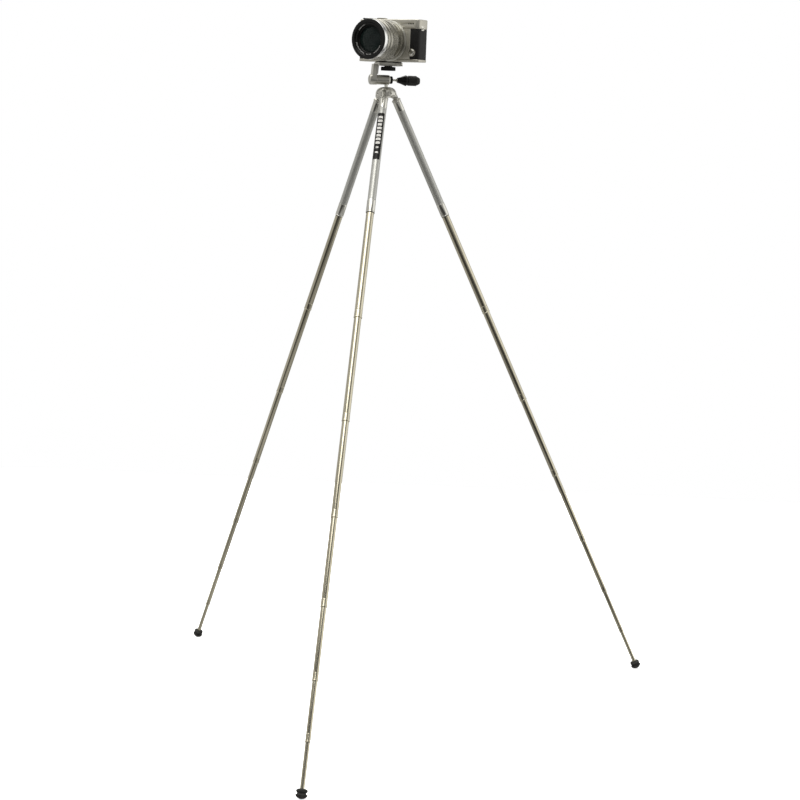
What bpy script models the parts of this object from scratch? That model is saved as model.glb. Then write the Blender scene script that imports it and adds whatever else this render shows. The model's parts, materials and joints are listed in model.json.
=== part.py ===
"""A compact interchangeable-lens camera on a tall folding tripod with telescoping legs.

Units are metres and +Z is up. The floor is z = 0, and the front leg stands towards -Y. The tripod's
own axis is upright, and lies a quarter of the foot circle behind the middle of the three feet.
"""

import math

import bmesh
import bpy
from mathutils import Matrix, Vector

MM = 0.001
UP = Vector((0, 0, 1))

# ---------------------------------------------------------------- driving dimensions
FIT_GAP = 0.3 * MM  # between pieces that touch

# legs
LEG_NAMES = ("front_leg", "left_leg", "right_leg")
LEG_AZIMUTHS = (math.radians(-90), math.radians(150), math.radians(30))
SPLAY = math.radians(25.3)  # of each leg from upright
OUTER_LENGTH = 220 * MM  # hinge pin to the lower end of the outer tube
EXPOSED_LENGTHS = tuple(length * MM for length in (181, 170, 151, 134, 107, 86, 63))
OUTER_RADIUS = 7.05 * MM
OUTER_WALL = 0.5 * MM
SECTION_GAP = 0.23 * MM  # between the outer tube and the widest inner section
SECTION_WALL = 0.3 * MM
NEST_GAP = 0.2 * MM  # between one section and the next
OVERLAP = 20 * MM  # of a drawn-out section in the one above
BEAD_HEIGHT = 2.4 * MM
BEAD_PROUD = 0.35 * MM
TUBE_SIDES = 16

# hinges
PIN_INSET = 4 * MM  # of the pins from the crown's rim
PIN_RADIUS = 1.5 * MM
PIN_LENGTH = 20 * MM
TONGUE_RADIUS = 4.2 * MM
TONGUE_THICKNESS = 5 * MM
SHOULDER_TOP = 7.5 * MM  # all three are distances down the leg from the pin
SHOULDER_EDGE = 11 * MM
PLUG_END = 20 * MM
SHOULDER_PROUD = 0.6 * MM  # of the outer tube

# feet
FOOT_HEIGHT = 14 * MM
FOOT_RADIUS = 9 * MM
FOOT_RIM_DROP = 9 * MM  # of the lower rim below the top of the foot
FOOT_TOP_RADIUS = 5.6 * MM
FOOT_COLLAR_RADIUS = 8.4 * MM
FOOT_WAIST_RADIUS = 6.4 * MM
FOOT_SOCKET_DEPTH = 7 * MM
FOOT_FLAT_DEPTH = 0.35 * MM  # worn off the round underside

# crown
CROWN_RADIUS = 17.5 * MM
CROWN_ABOVE_PIN = 11.2 * MM
CROWN_BELOW_PIN = 5 * MM
CROWN_SHOULDER_BELOW_PIN = 0.5 * MM
DISH_RADIUS = 7.4 * MM
DISH_DEPTH = 2.2 * MM
POST_SOCKET_DEPTH = 8.5 * MM
ARCH_RADIUS = 8 * MM
ARCH_RISE = 3 * MM  # of each arch above the lower rim

# pan and tilt head
POST_RADIUS = 2.9 * MM
POST_SHOWING = 4.5 * MM
POST_IN_BARREL = 2.2 * MM
BARREL_AZIMUTH = math.radians(25.6)
BARREL_RADIUS = 7.9 * MM
BARREL_LEFT = 16.1 * MM
BARREL_RIGHT = 6.2 * MM
BARREL_NOSE_RADIUS = 6.2 * MM
DISC_RADIUS = 6.2 * MM
DISC_THICKNESS = 4 * MM
BOSS_RADIUS = 8.5 * MM
BOSS_LENGTH = 14 * MM
BOSS_DOME = 4 * MM
TILT = math.radians(6)  # of the platform, towards the front
ARM_DEPTH = 17 * MM
ARM_RIB_DEPTH = 11 * MM
ARM_RIB_THICKNESS = 2.6 * MM
ARM_THICKNESS = 5.6 * MM
PLATE_LENGTH = 41 * MM
PLATE_DEPTH = 38 * MM
PLATE_THICKNESS = 5 * MM
PLATE_CORNER = 3 * MM
PLATE_RISE = 22.6 * MM  # of its underside above the barrel's axis
PLATE_NOTCH = 10 * MM
PAD_THICKNESS = 1.1 * MM
PAD_MARGIN = 1.2 * MM
SCREW_OFFSET = 2.8 * MM  # of the camera screw along the barrel from the post
SCREW_RADIUS = 3.1 * MM
SCREW_IN_CAMERA = 3.5 * MM
KNOB_RADIUS = 12.2 * MM
KNOB_HEIGHT = 6.2 * MM
KNOB_NECK_RADIUS = 6.6 * MM
KNOB_NECK_HEIGHT = 1.2 * MM

# handle
ROD_RADIUS = 1.8 * MM
ROD_IN_BOSS = 6 * MM
FERRULE_RADIUS = 2.7 * MM
FERRULE_LENGTH = 4 * MM
ROD_SHOWING = 8 * MM  # from the friction disc to the grip
ROD_IN_GRIP = 12 * MM
GRIP_LENGTH = 38.5 * MM
GRIP_TIP_RADIUS = 4.2 * MM
GRIP_BEAD_RADIUS = 8.8 * MM
GRIP_BODY_RADIUS = 8.2 * MM
GRIP_END_RADIUS = 5.4 * MM
GRIP_CONE_LENGTH = 15 * MM
GRIP_TAPER_LENGTH = 6 * MM

# camera body
CAMERA_TURN = math.radians(-45.3)  # of the camera on the platform
BODY_WIDTH = 117 * MM
BODY_DEPTH = 32 * MM
BODY_HEIGHT = 67 * MM
BODY_CORNER = 8 * MM
BODY_OFFSET = 7.8 * MM  # of the body's middle from the camera screw
BODY_INSET = 0.4 * MM  # of the middle part inside the top and bottom plates
BASE_HEIGHT = 4.1 * MM
TOP_HEIGHT = 15 * MM
PLATE_EDGE = 1.2 * MM
SCREEN_WIDTH = 78 * MM
SCREEN_THICKNESS = 4 * MM
SCREEN_DROP = 2 * MM  # of its upper edge below the top plate
SCREEN_MARGIN = 1.3 * MM  # under its lower edge
SCREEN_OFFSET = -14 * MM
SHOE_WIDTH = 21 * MM
SHOE_DEPTH = 19 * MM
SHOE_HEIGHT = 2.8 * MM
SHOE_PROUD = 0.6 * MM
SHOE_WALL = 1.2 * MM
SHOE_RAIL = 3.05 * MM  # reach of each lip over the channel
SHOE_LIP = 0.8 * MM
SHOE_FLOOR = 0.8 * MM

# camera controls, placed from the middle of the body
BUTTON_RADIUS = 4.2 * MM
BUTTON_HEIGHT = 2.6 * MM
BUTTON_TRAVEL_GAP = 0.8 * MM
BUTTON_FROM_END = 14.5 * MM
BUTTON_Y = -6.5 * MM
LEVER_RADIUS = 7.4 * MM
LEVER_HEIGHT = 1.8 * MM
LEVER_REACH = 3.6 * MM
MODE_DIAL_RADIUS = 8.5 * MM
MODE_DIAL_HEIGHT = 3 * MM
MODE_DIAL_SHIFT = -2.45 * MM  # from midway between the power lever and the shoe
MODE_DIAL_Y = 2.5 * MM
COMMAND_DIAL_RADIUS = 5.6 * MM
COMMAND_DIAL_HEIGHT = 2.6 * MM
COMMAND_DIAL_FROM_END = 15.5 * MM
COMMAND_DIAL_Y = 9.2 * MM
RELEASE_RADIUS = 5.3 * MM
RELEASE_PROUD = 1.8 * MM
RELEASE_DEPTH = 3 * MM
RELEASE_FROM_LENS = 42 * MM  # to the side of the lens's axis
RELEASE_RISE = 14.5 * MM

# lens, from the camera's front face forward
LENS_OFFSET = 4 * MM  # from the middle of the body
FOCUS_RADIUS = 31.1 * MM  # the other rings follow it
FOCUS_LENGTH = 15 * MM
ZOOM_PROUD = 0.6 * MM  # of the focus ring
ZOOM_LENGTH = 21 * MM
RING_WALL = 2.2 * MM
FLANGE_PROUD = 1.2 * MM  # of the focus ring
FLANGE_THICKNESS = 3 * MM
THROAT_STEP = 2 * MM  # of the throat inside the guide
REAR_STEP = 0.9 * MM  # of the rear barrel under the focus ring
REAR_LENGTH = 12.5 * MM
GUIDE_WALL = 2 * MM
GUIDE_GAP = 0.8 * MM  # between the guide and the inner barrel
GUIDE_SHORTFALL = 7 * MM  # of the guide behind the front ring
INNER_WALL = 1.8 * MM
INNER_OVERLAP = 32 * MM  # of the inner barrel behind the front ring
FRONT_PROUD = 0.5 * MM  # of the focus ring
FRONT_LENGTH = 12.8 * MM
FRONT_RIM = 6.9 * MM
GLASS_MARGIN = 4.7 * MM  # between the front bore and the glass
GLASS_EDGE = 3 * MM
GLASS_CROWN = 3.2 * MM
GLASS_DEPTH = 8.5 * MM  # of the glass edge behind the front rim
RETAINER_LIP = 1.5 * MM
LENS_SIDES = 40

# ---------------------------------------------------------------- worked-out places
SECTION_RADIUS = OUTER_RADIUS - OUTER_WALL - SECTION_GAP
SHOULDER_RADIUS = OUTER_RADIUS + SHOULDER_PROUD
PIN_CIRCLE = CROWN_RADIUS - PIN_INSET  # radius of the circle that the three pins stand on
LEG_LENGTH = OUTER_LENGTH + sum(EXPOSED_LENGTHS)  # hinge pin to the top of the foot
FOOT_CAP = FOOT_HEIGHT - FOOT_RIM_DROP
FOOT_CAP_RADIUS = (FOOT_RADIUS**2 + FOOT_CAP**2) / (2 * FOOT_CAP)
FOOT_CAP_CENTRE = FOOT_HEIGHT - FOOT_CAP_RADIUS
PIN_Z = (LEG_LENGTH + FOOT_CAP_CENTRE) * math.cos(SPLAY) + FOOT_CAP_RADIUS - FOOT_FLAT_DEPTH
FOOT_CIRCLE = PIN_CIRCLE + LEG_LENGTH * math.sin(SPLAY)
AXIS_Y = FOOT_CIRCLE / 4  # centres the three feet on the origin

CROWN_TOP_Z = PIN_Z + CROWN_ABOVE_PIN
BARREL_Z = CROWN_TOP_Z + POST_SHOWING + BARREL_RADIUS
DISC_START = BARREL_RIGHT + FIT_GAP
GRIP_START = DISC_START + DISC_THICKNESS + ROD_SHOWING
BOSS_START = -BARREL_LEFT - FIT_GAP
PLATE_TOP = PLATE_RISE + PLATE_THICKNESS
CAMERA_RISE = PLATE_TOP + PAD_THICKNESS + 2 * FIT_GAP
MIDDLE_BOTTOM = BASE_HEIGHT + FIT_GAP
MIDDLE_TOP = BODY_HEIGHT - TOP_HEIGHT - FIT_GAP
TOP_BOTTOM = BODY_HEIGHT - TOP_HEIGHT
SCREEN_HEIGHT = MIDDLE_TOP - MIDDLE_BOTTOM - SCREEN_DROP - SCREEN_MARGIN
BODY_END = -BODY_WIDTH / 2
BUTTON_PLACE = (BODY_END + BUTTON_FROM_END, BUTTON_Y)
COMMAND_DIAL_PLACE = (BODY_END + COMMAND_DIAL_FROM_END, COMMAND_DIAL_Y)
SHOE_CHANNEL = SHOE_WIDTH - 2 * SHOE_WALL
SHOE_THROAT = SHOE_CHANNEL - 2 * SHOE_RAIL
FREE_TOP = (BUTTON_PLACE[0] + LEVER_RADIUS, LENS_OFFSET - SHOE_WIDTH / 2)
MODE_DIAL_PLACE = (sum(FREE_TOP) / 2 + MODE_DIAL_SHIFT, MODE_DIAL_Y)

ZOOM_RADIUS = FOCUS_RADIUS + ZOOM_PROUD
FLANGE_RADIUS = FOCUS_RADIUS + FLANGE_PROUD
REAR_RADIUS = FOCUS_RADIUS - REAR_STEP
FRONT_RADIUS = FOCUS_RADIUS + FRONT_PROUD
INNER_RADIUS = FOCUS_RADIUS - RING_WALL - FIT_GAP
GUIDE_RADIUS = INNER_RADIUS - INNER_WALL - GUIDE_GAP
THROAT_RADIUS = GUIDE_RADIUS - GUIDE_WALL - THROAT_STEP
FRONT_BORE_RADIUS = FRONT_RADIUS - FRONT_RIM
GLASS_RADIUS = FRONT_BORE_RADIUS - GLASS_MARGIN
LENS_PLACE = (LENS_OFFSET, FLANGE_RADIUS)  # from the middle of the body and from its base
RELEASE_PLACE = (LENS_OFFSET + RELEASE_FROM_LENS, RELEASE_RISE)
REAR_START = FLANGE_THICKNESS + 2 * FIT_GAP
ZOOM_START = REAR_START + REAR_LENGTH + FIT_GAP
FOCUS_START = ZOOM_START + ZOOM_LENGTH + FIT_GAP
FRONT_START = FOCUS_START + FOCUS_LENGTH + FIT_GAP
GUIDE_END = FRONT_START - GUIDE_SHORTFALL
FRONT_END = FRONT_START + FRONT_LENGTH


# ---------------------------------------------------------------- modelling helpers
def new_collection(name):
    collection = bpy.data.collections.new(name)
    bpy.context.scene.collection.children.link(collection)
    return collection


def new_material(name, colour, metallic, roughness):
    material = bpy.data.materials.new(name)
    material.use_nodes = True
    shader = material.node_tree.nodes["Principled BSDF"]
    shader.inputs["Base Color"].default_value = (*colour, 1)
    shader.inputs["Metallic"].default_value = metallic
    shader.inputs["Roughness"].default_value = roughness
    return material


def new_empty(name, parent=None, place=(0, 0, 0), turn=(0, 0, 0)):
    """An axis that pieces are parented to."""
    empty = bpy.data.objects.new(name, None)
    empty.location = place
    empty.rotation_euler = turn
    empty.parent = parent
    empty.empty_display_size = 0.02
    PARTS.objects.link(empty)
    return empty


def new_piece(name, mesh, look, parent, place=(0, 0, 0), turn=(0, 0, 0)):
    """A sub-part of the object."""
    piece = bpy.data.objects.new(name, mesh)
    piece.location = place
    piece.rotation_euler = turn
    piece.parent = parent
    if not mesh.materials:
        mesh.materials.append(look)
    mesh.shade_smooth()
    mesh.set_sharp_from_angle(angle=math.radians(40))
    PARTS.objects.link(piece)
    return piece


def new_cutter(name, mesh, parent, place=(0, 0, 0), turn=(0, 0, 0)):
    """A shape that is only cut from, or joined to, a sub-part."""
    cutter = bpy.data.objects.new(name, mesh)
    cutter.location = place
    cutter.rotation_euler = turn
    cutter.parent = parent
    cutter.hide_render = True
    cutter.display_type = "WIRE"
    CUTTERS.objects.link(cutter)
    return cutter


def cut(piece, cutter, operation="DIFFERENCE"):
    modifier = piece.modifiers.new(cutter.name, "BOOLEAN")
    modifier.operation = operation
    modifier.solver = "EXACT"
    modifier.object = cutter


def join(piece, cutter):
    cut(piece, cutter, "UNION")


def spin(piece, sides):
    """Turn a profile in the XZ plane about Z."""
    modifier = piece.modifiers.new("Turned", "SCREW")
    modifier.steps = sides
    modifier.render_steps = sides
    modifier.use_merge_vertices = True
    modifier.merge_threshold = 0.00001
    return piece


def profile_mesh(name, points, closed=False):
    """A profile of (radius, height) points that runs down its outer side."""
    shape = bmesh.new()
    corners = [shape.verts.new((radius, 0, height)) for radius, height in points]
    for start, end in zip(corners, corners[1:]):
        shape.edges.new((start, end))
    if closed:
        shape.edges.new((corners[-1], corners[0]))
    return finish_mesh(name, shape)


def tube_profile(outer, inner, bottom, top):
    return [(outer, top), (outer, bottom), (inner, bottom), (inner, top)]


def arc(centre, radius, start, end, steps):
    """Points on an arc, with the angles in degrees and both ends on it."""
    angles = [math.radians(start + (end - start) * step / steps) for step in range(steps + 1)]
    return [
        (centre[0] + radius * math.cos(angle), centre[1] + radius * math.sin(angle))
        for angle in angles
    ]


def rounded_rectangle(width, depth, corner, steps=4):
    x = width / 2 - corner
    y = depth / 2 - corner
    outline = []
    for quarter, centre in enumerate(((x, y), (-x, y), (-x, -y), (x, -y))):
        outline += arc(centre, corner, 90 * quarter, 90 * quarter + 90, steps)
    return outline


def extruded(name, outline, thickness, bottom=0.0):
    """A flat outline in XY that is extruded up from a height, as a closed mesh."""
    curve = bpy.data.curves.new(name, "CURVE")
    curve.dimensions = "2D"
    curve.fill_mode = "BOTH"
    curve.extrude = thickness / 2
    spline = curve.splines.new("POLY")
    spline.points.add(len(outline) - 1)
    for point, (x, y) in zip(spline.points, outline):
        point.co = (x, y, 0, 1)
    spline.use_cyclic_u = True
    flat = bpy.data.objects.new(name, curve)
    CUTTERS.objects.link(flat)
    depsgraph = bpy.context.evaluated_depsgraph_get()
    mesh = bpy.data.meshes.new_from_object(flat.evaluated_get(depsgraph))
    bpy.data.objects.remove(flat)
    bpy.data.curves.remove(curve)
    shape = bmesh.new()
    shape.from_mesh(mesh)
    bmesh.ops.remove_doubles(shape, verts=shape.verts, dist=0.00001)
    bmesh.ops.translate(shape, verts=shape.verts, vec=(0, 0, bottom + thickness / 2))
    bmesh.ops.recalc_face_normals(shape, faces=shape.faces)
    shape.to_mesh(mesh)
    shape.free()
    mesh.name = name
    return mesh


def finish_mesh(name, shape):
    mesh = bpy.data.meshes.new(name)
    shape.to_mesh(mesh)
    shape.free()
    return mesh


def box_mesh(name, size, centre=(0, 0, 0)):
    shape = bmesh.new()
    stretch = Matrix.Diagonal((*size, 1))
    bmesh.ops.create_cube(shape, size=1, matrix=Matrix.Translation(centre) @ stretch)
    return finish_mesh(name, shape)


def cylinder_mesh(name, radius, length, sides, bottom=None):
    """A cylinder along Z, centred on the origin or standing at a height."""
    middle = 0 if bottom is None else bottom + length / 2
    shape = bmesh.new()
    bmesh.ops.create_cone(
        shape,
        cap_ends=True,
        segments=sides,
        radius1=radius,
        radius2=radius,
        depth=length,
        matrix=Matrix.Translation((0, 0, middle)),
    )
    return finish_mesh(name, shape)


def soften(piece, width, segments=2):
    """Round the edges that are sharper than 40 degrees."""
    modifier = piece.modifiers.new("Softened", "BEVEL")
    modifier.width = width
    modifier.segments = segments
    modifier.limit_method = "ANGLE"
    modifier.angle_limit = math.radians(40)
    modifier.use_clamp_overlap = True


# ---------------------------------------------------------------- tripod
def section_radius(number):
    """Outer radius of inner section 2 to 8."""
    return SECTION_RADIUS - (number - 2) * (SECTION_WALL + NEST_GAP)


def section_end(number):
    """Distance from the hinge pin down to the lower end of a section, 1 being the outer tube."""
    return OUTER_LENGTH + sum(EXPOSED_LENGTHS[: number - 1])


def make_crown(tripod):
    """The domed casting that the legs hinge in; its origin is at the height of the pins."""
    socket_radius = POST_RADIUS + FIT_GAP
    dish_z = CROWN_ABOVE_PIN - DISH_DEPTH
    width = CROWN_RADIUS - DISH_RADIUS
    height = CROWN_ABOVE_PIN + CROWN_SHOULDER_BELOW_PIN
    dome = [
        (
            DISH_RADIUS + width * math.sin(math.radians(angle)),
            CROWN_ABOVE_PIN - height * (1 - math.cos(math.radians(angle))),
        )
        for angle in range(0, 91, 15)
    ]
    profile = [
        (0, dish_z - POST_SOCKET_DEPTH),
        (socket_radius, dish_z - POST_SOCKET_DEPTH),
        (socket_radius, dish_z),
        (DISH_RADIUS - 0.8 * MM, dish_z + 0.8 * MM),
        *dome,
        (CROWN_RADIUS, -CROWN_BELOW_PIN + 1 * MM),
        (CROWN_RADIUS - 1 * MM, -CROWN_BELOW_PIN),
        (0, -CROWN_BELOW_PIN),
    ]
    crown = new_piece("crown", profile_mesh("crown", profile), CHROME, tripod, (0, 0, PIN_Z))
    spin(crown, 36)

    slot_start = PIN_CIRCLE - TONGUE_RADIUS - 2 * FIT_GAP
    slot_end = CROWN_RADIUS + 5 * MM
    slot_top = TONGUE_RADIUS + 2 * FIT_GAP
    slot_bottom = -CROWN_BELOW_PIN - 5 * MM
    slot = box_mesh(
        "slot",
        (slot_end - slot_start, TONGUE_THICKNESS + 2 * FIT_GAP, slot_top - slot_bottom),
        ((slot_start + slot_end) / 2, 0, (slot_top + slot_bottom) / 2),
    )
    arch = cylinder_mesh("arch", ARCH_RADIUS, CROWN_RADIUS, 24)
    hole = cylinder_mesh("pin_hole", PIN_RADIUS + FIT_GAP, 3 * CROWN_RADIUS, 16)
    pin = cylinder_mesh("pin", PIN_RADIUS, PIN_LENGTH, 16)
    pin_turn = Matrix.Rotation(math.radians(90), 4, "X")
    hole.transform(pin_turn)
    pin.transform(pin_turn)
    arch.transform(Matrix.Rotation(math.radians(90), 4, "Y"))
    arch_z = -CROWN_BELOW_PIN + ARCH_RISE - ARCH_RADIUS
    for leg, azimuth in zip(LEG_NAMES, LEG_AZIMUTHS):
        between = azimuth + math.radians(60)
        arch_place = (
            CROWN_RADIUS * math.cos(between),
            CROWN_RADIUS * math.sin(between),
            PIN_Z + arch_z,
        )
        pin_place = (PIN_CIRCLE * math.cos(azimuth), PIN_CIRCLE * math.sin(azimuth), PIN_Z)
        turn = (0, 0, azimuth)
        cut(crown, new_cutter(leg + "_slot", slot, tripod, (0, 0, PIN_Z), turn))
        cut(crown, new_cutter(leg + "_arch", arch, tripod, arch_place, (0, 0, between)))
        cut(crown, new_cutter(leg + "_pin_hole", hole, tripod, pin_place, turn))
        new_piece(leg + "_pin", pin, STEEL, tripod, pin_place, turn)


def make_knuckle(leg, hinge):
    """The hinge tongue, and the shoulder and plug that close the outer tube."""
    plug_radius = OUTER_RADIUS - OUTER_WALL - FIT_GAP
    dome = arc((SHOULDER_RADIUS - 3 * MM, -SHOULDER_TOP - 3 * MM), 3 * MM, 90, 0, 3)
    profile = [
        (0, -SHOULDER_TOP),
        *dome,
        (SHOULDER_RADIUS, -SHOULDER_EDGE),
        (plug_radius, -SHOULDER_EDGE),
        (plug_radius, -PLUG_END),
        (0, -PLUG_END),
    ]
    name = leg + "_knuckle"
    knuckle = spin(new_piece(name, profile_mesh(name, profile), CHROME, hinge), TUBE_SIDES)
    root = -(SHOULDER_TOP + SHOULDER_EDGE) / 2
    outline = [
        (-TONGUE_RADIUS, root),
        (TONGUE_RADIUS, root),
        *arc((0, 0), TONGUE_RADIUS, 0, 180, 10),
    ]
    tongue = extruded("tongue", outline, TONGUE_THICKNESS, -TONGUE_THICKNESS / 2)
    upright = Matrix.Rotation(math.radians(90), 4, "X")
    tongue.transform(upright)
    hole = cylinder_mesh("tongue_hole", PIN_RADIUS + FIT_GAP, 2 * TONGUE_THICKNESS, 16)
    hole.transform(upright)
    join(knuckle, new_cutter(leg + "_tongue", tongue, hinge))
    cut(knuckle, new_cutter(leg + "_tongue_hole", hole, hinge))


def make_leg(leg, azimuth, tripod, floor):
    """A leg's origin is its hinge pin, and -Z runs down it."""
    place = (PIN_CIRCLE * math.cos(azimuth), PIN_CIRCLE * math.sin(azimuth), PIN_Z)
    hinge = new_empty(leg + "_hinge", tripod, place, (0, -SPLAY, azimuth))
    make_knuckle(leg, hinge)

    outer_top = -SHOULDER_EDGE - FIT_GAP
    profile = tube_profile(OUTER_RADIUS, OUTER_RADIUS - OUTER_WALL, -OUTER_LENGTH, outer_top)
    mesh = profile_mesh(leg + "_outer_tube", profile, closed=True)
    spin(new_piece(leg + "_outer_tube", mesh, SATIN, hinge), TUBE_SIDES)

    for number in range(2, 9):
        radius = section_radius(number)
        length = EXPOSED_LENGTHS[number - 2]
        end = new_empty(f"{leg}_slide_{number}", hinge, (0, 0, -section_end(number)))
        top = length + OVERLAP
        if number < 8:
            bead = radius + BEAD_PROUD
            profile = [
                (radius, top),
                (radius, BEAD_HEIGHT),
                (bead, BEAD_HEIGHT - BEAD_PROUD),
                (bead, 0),
                (radius - SECTION_WALL, 0),
                (radius - SECTION_WALL, top),
            ]
        else:
            bottom = -FOOT_SOCKET_DEPTH + FIT_GAP
            profile = tube_profile(radius, radius - SECTION_WALL, bottom, top)
        name = f"{leg}_section_{number}"
        spin(new_piece(name, profile_mesh(name, profile, closed=True), BRASS, end), TUBE_SIDES)

    cap_edge = math.degrees(math.asin(FOOT_RADIUS / FOOT_CAP_RADIUS)) - 90
    cap = arc((0, -FOOT_CAP_CENTRE), FOOT_CAP_RADIUS, cap_edge, -90, 5)
    socket = section_radius(8) + FIT_GAP
    profile = [
        (0, -FOOT_SOCKET_DEPTH),
        (socket, -FOOT_SOCKET_DEPTH),
        (socket, 0),
        (FOOT_TOP_RADIUS, 0),
        (FOOT_COLLAR_RADIUS, -2 * MM),
        (FOOT_COLLAR_RADIUS, -4.2 * MM),
        (FOOT_WAIST_RADIUS, -FOOT_RIM_DROP + 2.4 * MM),
        *cap,
    ]
    foot = new_piece(leg + "_foot", profile_mesh(leg + "_foot", profile), RUBBER, end)
    spin(foot, 20)
    cut(foot, floor)


def make_tripod():
    tripod = new_empty("tripod", place=(0, AXIS_Y, 0))
    make_crown(tripod)
    span = 4 * FOOT_CIRCLE
    floor_mesh = box_mesh("floor", (span, span, 20 * MM), (0, 0, -10 * MM))
    floor = new_cutter("floor", floor_mesh, tripod)
    for leg, azimuth in zip(LEG_NAMES, LEG_AZIMUTHS):
        make_leg(leg, azimuth, tripod, floor)
    return tripod


# ---------------------------------------------------------------- head
ALONG_X = (0, math.radians(90), 0)  # lays a turned piece along the barrel


def make_pan(pan):
    """The post, the barrel and its friction disc; their frame is at the barrel's axis, along +X."""
    bore = ROD_RADIUS + FIT_GAP
    post_bottom = CROWN_TOP_Z - DISH_DEPTH - POST_SOCKET_DEPTH + FIT_GAP - BARREL_Z
    post_top = -BARREL_RADIUS + POST_IN_BARREL - FIT_GAP
    post = cylinder_mesh("pan_post", POST_RADIUS, post_top - post_bottom, 20, post_bottom)
    new_piece("pan_post", post, CHROME, pan)

    nose = BARREL_RADIUS - BARREL_NOSE_RADIUS
    profile = [
        (bore, BARREL_RIGHT),
        (BARREL_NOSE_RADIUS, BARREL_RIGHT),
        *arc((BARREL_NOSE_RADIUS, BARREL_RIGHT - 1.5 * nose), nose, 90, 0, 3),
        (BARREL_RADIUS, -BARREL_LEFT),
        (bore, -BARREL_LEFT),
    ]
    mesh = profile_mesh("head_barrel", profile, closed=True)
    barrel = spin(new_piece("head_barrel", mesh, CHROME, pan, turn=ALONG_X), 28)
    socket = cylinder_mesh(
        "post_socket", POST_RADIUS + FIT_GAP, 2 * POST_IN_BARREL, 20, -BARREL_RADIUS - POST_IN_BARREL
    )
    cut(barrel, new_cutter("post_socket", socket, pan))

    disc_end = DISC_START + DISC_THICKNESS
    rim = 1.6 * MM
    profile = [
        (bore, disc_end),
        *arc((DISC_RADIUS - rim, disc_end - rim), rim, 90, 0, 3),
        (DISC_RADIUS, DISC_START),
        (bore, DISC_START),
    ]
    mesh = profile_mesh("friction_disc", profile, closed=True)
    spin(new_piece("friction_disc", mesh, BLACK, pan, turn=ALONG_X), 28)


def make_bracket(tilt):
    """The side boss, arm and platform, cast in one piece."""
    bore = ROD_RADIUS + FIT_GAP
    boss_end = BOSS_START - BOSS_LENGTH
    bore_end = BOSS_START - ROD_IN_BOSS - FIT_GAP
    dome = [
        (
            BOSS_RADIUS * math.cos(math.radians(angle)),
            boss_end + BOSS_DOME * (1 - math.sin(math.radians(angle))),
        )
        for angle in range(0, 90, 15)
    ]
    profile = [(0, BOSS_START), (BOSS_RADIUS, BOSS_START), *dome, (0, boss_end)]
    mesh = profile_mesh("tilt_bracket", profile)
    bracket = spin(new_piece("tilt_bracket", mesh, CHROME, tilt, turn=ALONG_X), 28)

    arm_right = -PLATE_LENGTH / 2 + SCREW_OFFSET + ARM_RIB_THICKNESS
    arm_middle = BOSS_START - 1.2 * MM
    arm_left = arm_middle - ARM_THICKNESS
    rib_bottom = BARREL_RADIUS + 1.2 * MM
    plate_middle = PLATE_RISE + PLATE_THICKNESS / 2
    arm_outline = [
        (arm_left - 2.4 * MM, 0),
        (arm_middle, 0),
        (arm_middle, plate_middle),
        (arm_left, plate_middle),
    ]
    rib_outline = [
        (arm_left + 1 * MM, rib_bottom),
        (arm_right, rib_bottom),
        (arm_right + 1.2 * MM, plate_middle),
        (arm_left + 1 * MM, plate_middle),
    ]
    upright = Matrix.Rotation(math.radians(90), 4, "X")
    for name, outline, depth in (
        ("arm", arm_outline, ARM_DEPTH),
        ("arm_rib", rib_outline, ARM_RIB_DEPTH),
    ):
        mesh = extruded(name, outline, depth, -depth / 2)
        mesh.transform(upright)
        join(bracket, new_cutter(name, mesh, tilt))

    plate_outline = rounded_rectangle(PLATE_LENGTH, PLATE_DEPTH, PLATE_CORNER, 3)
    plate = extruded("platform", plate_outline, PLATE_THICKNESS, PLATE_RISE)
    screw_x = (SCREW_OFFSET, 0, 0)
    join(bracket, new_cutter("platform", plate, tilt, screw_x))
    notch_size = (PLATE_NOTCH, PLATE_DEPTH, PLATE_THICKNESS / 2)
    notch_place = (
        SCREW_OFFSET + PLATE_LENGTH / 2 - PLATE_NOTCH / 2 + 0.5 * MM,
        -PLATE_DEPTH + 1.5 * MM,
        PLATE_RISE + PLATE_THICKNESS / 4 - 0.5 * MM,
    )
    cut(bracket, new_cutter("platform_notch", box_mesh("notch", notch_size), tilt, notch_place))
    rod_hole = cylinder_mesh("rod_hole", bore, 2 * ROD_IN_BOSS, 16, bore_end)
    cut(bracket, new_cutter("rod_hole", rod_hole, tilt, turn=ALONG_X))
    hole = cylinder_mesh(
        "screw_hole", SCREW_RADIUS + FIT_GAP, 3 * PLATE_THICKNESS, 16, PLATE_RISE - PLATE_THICKNESS
    )
    cut(bracket, new_cutter("screw_hole", hole, tilt, screw_x))

    pad_outline = rounded_rectangle(
        PLATE_LENGTH - 2 * PAD_MARGIN, PLATE_DEPTH - 2 * PAD_MARGIN, PLATE_CORNER - PAD_MARGIN / 2, 3
    )
    pad_mesh = extruded("platform_pad", pad_outline, PAD_THICKNESS, PLATE_TOP + FIT_GAP)
    pad = new_piece("platform_pad", pad_mesh, RUBBER, tilt, screw_x)
    cut(pad, new_cutter("pad_hole", hole, tilt, screw_x))


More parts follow.
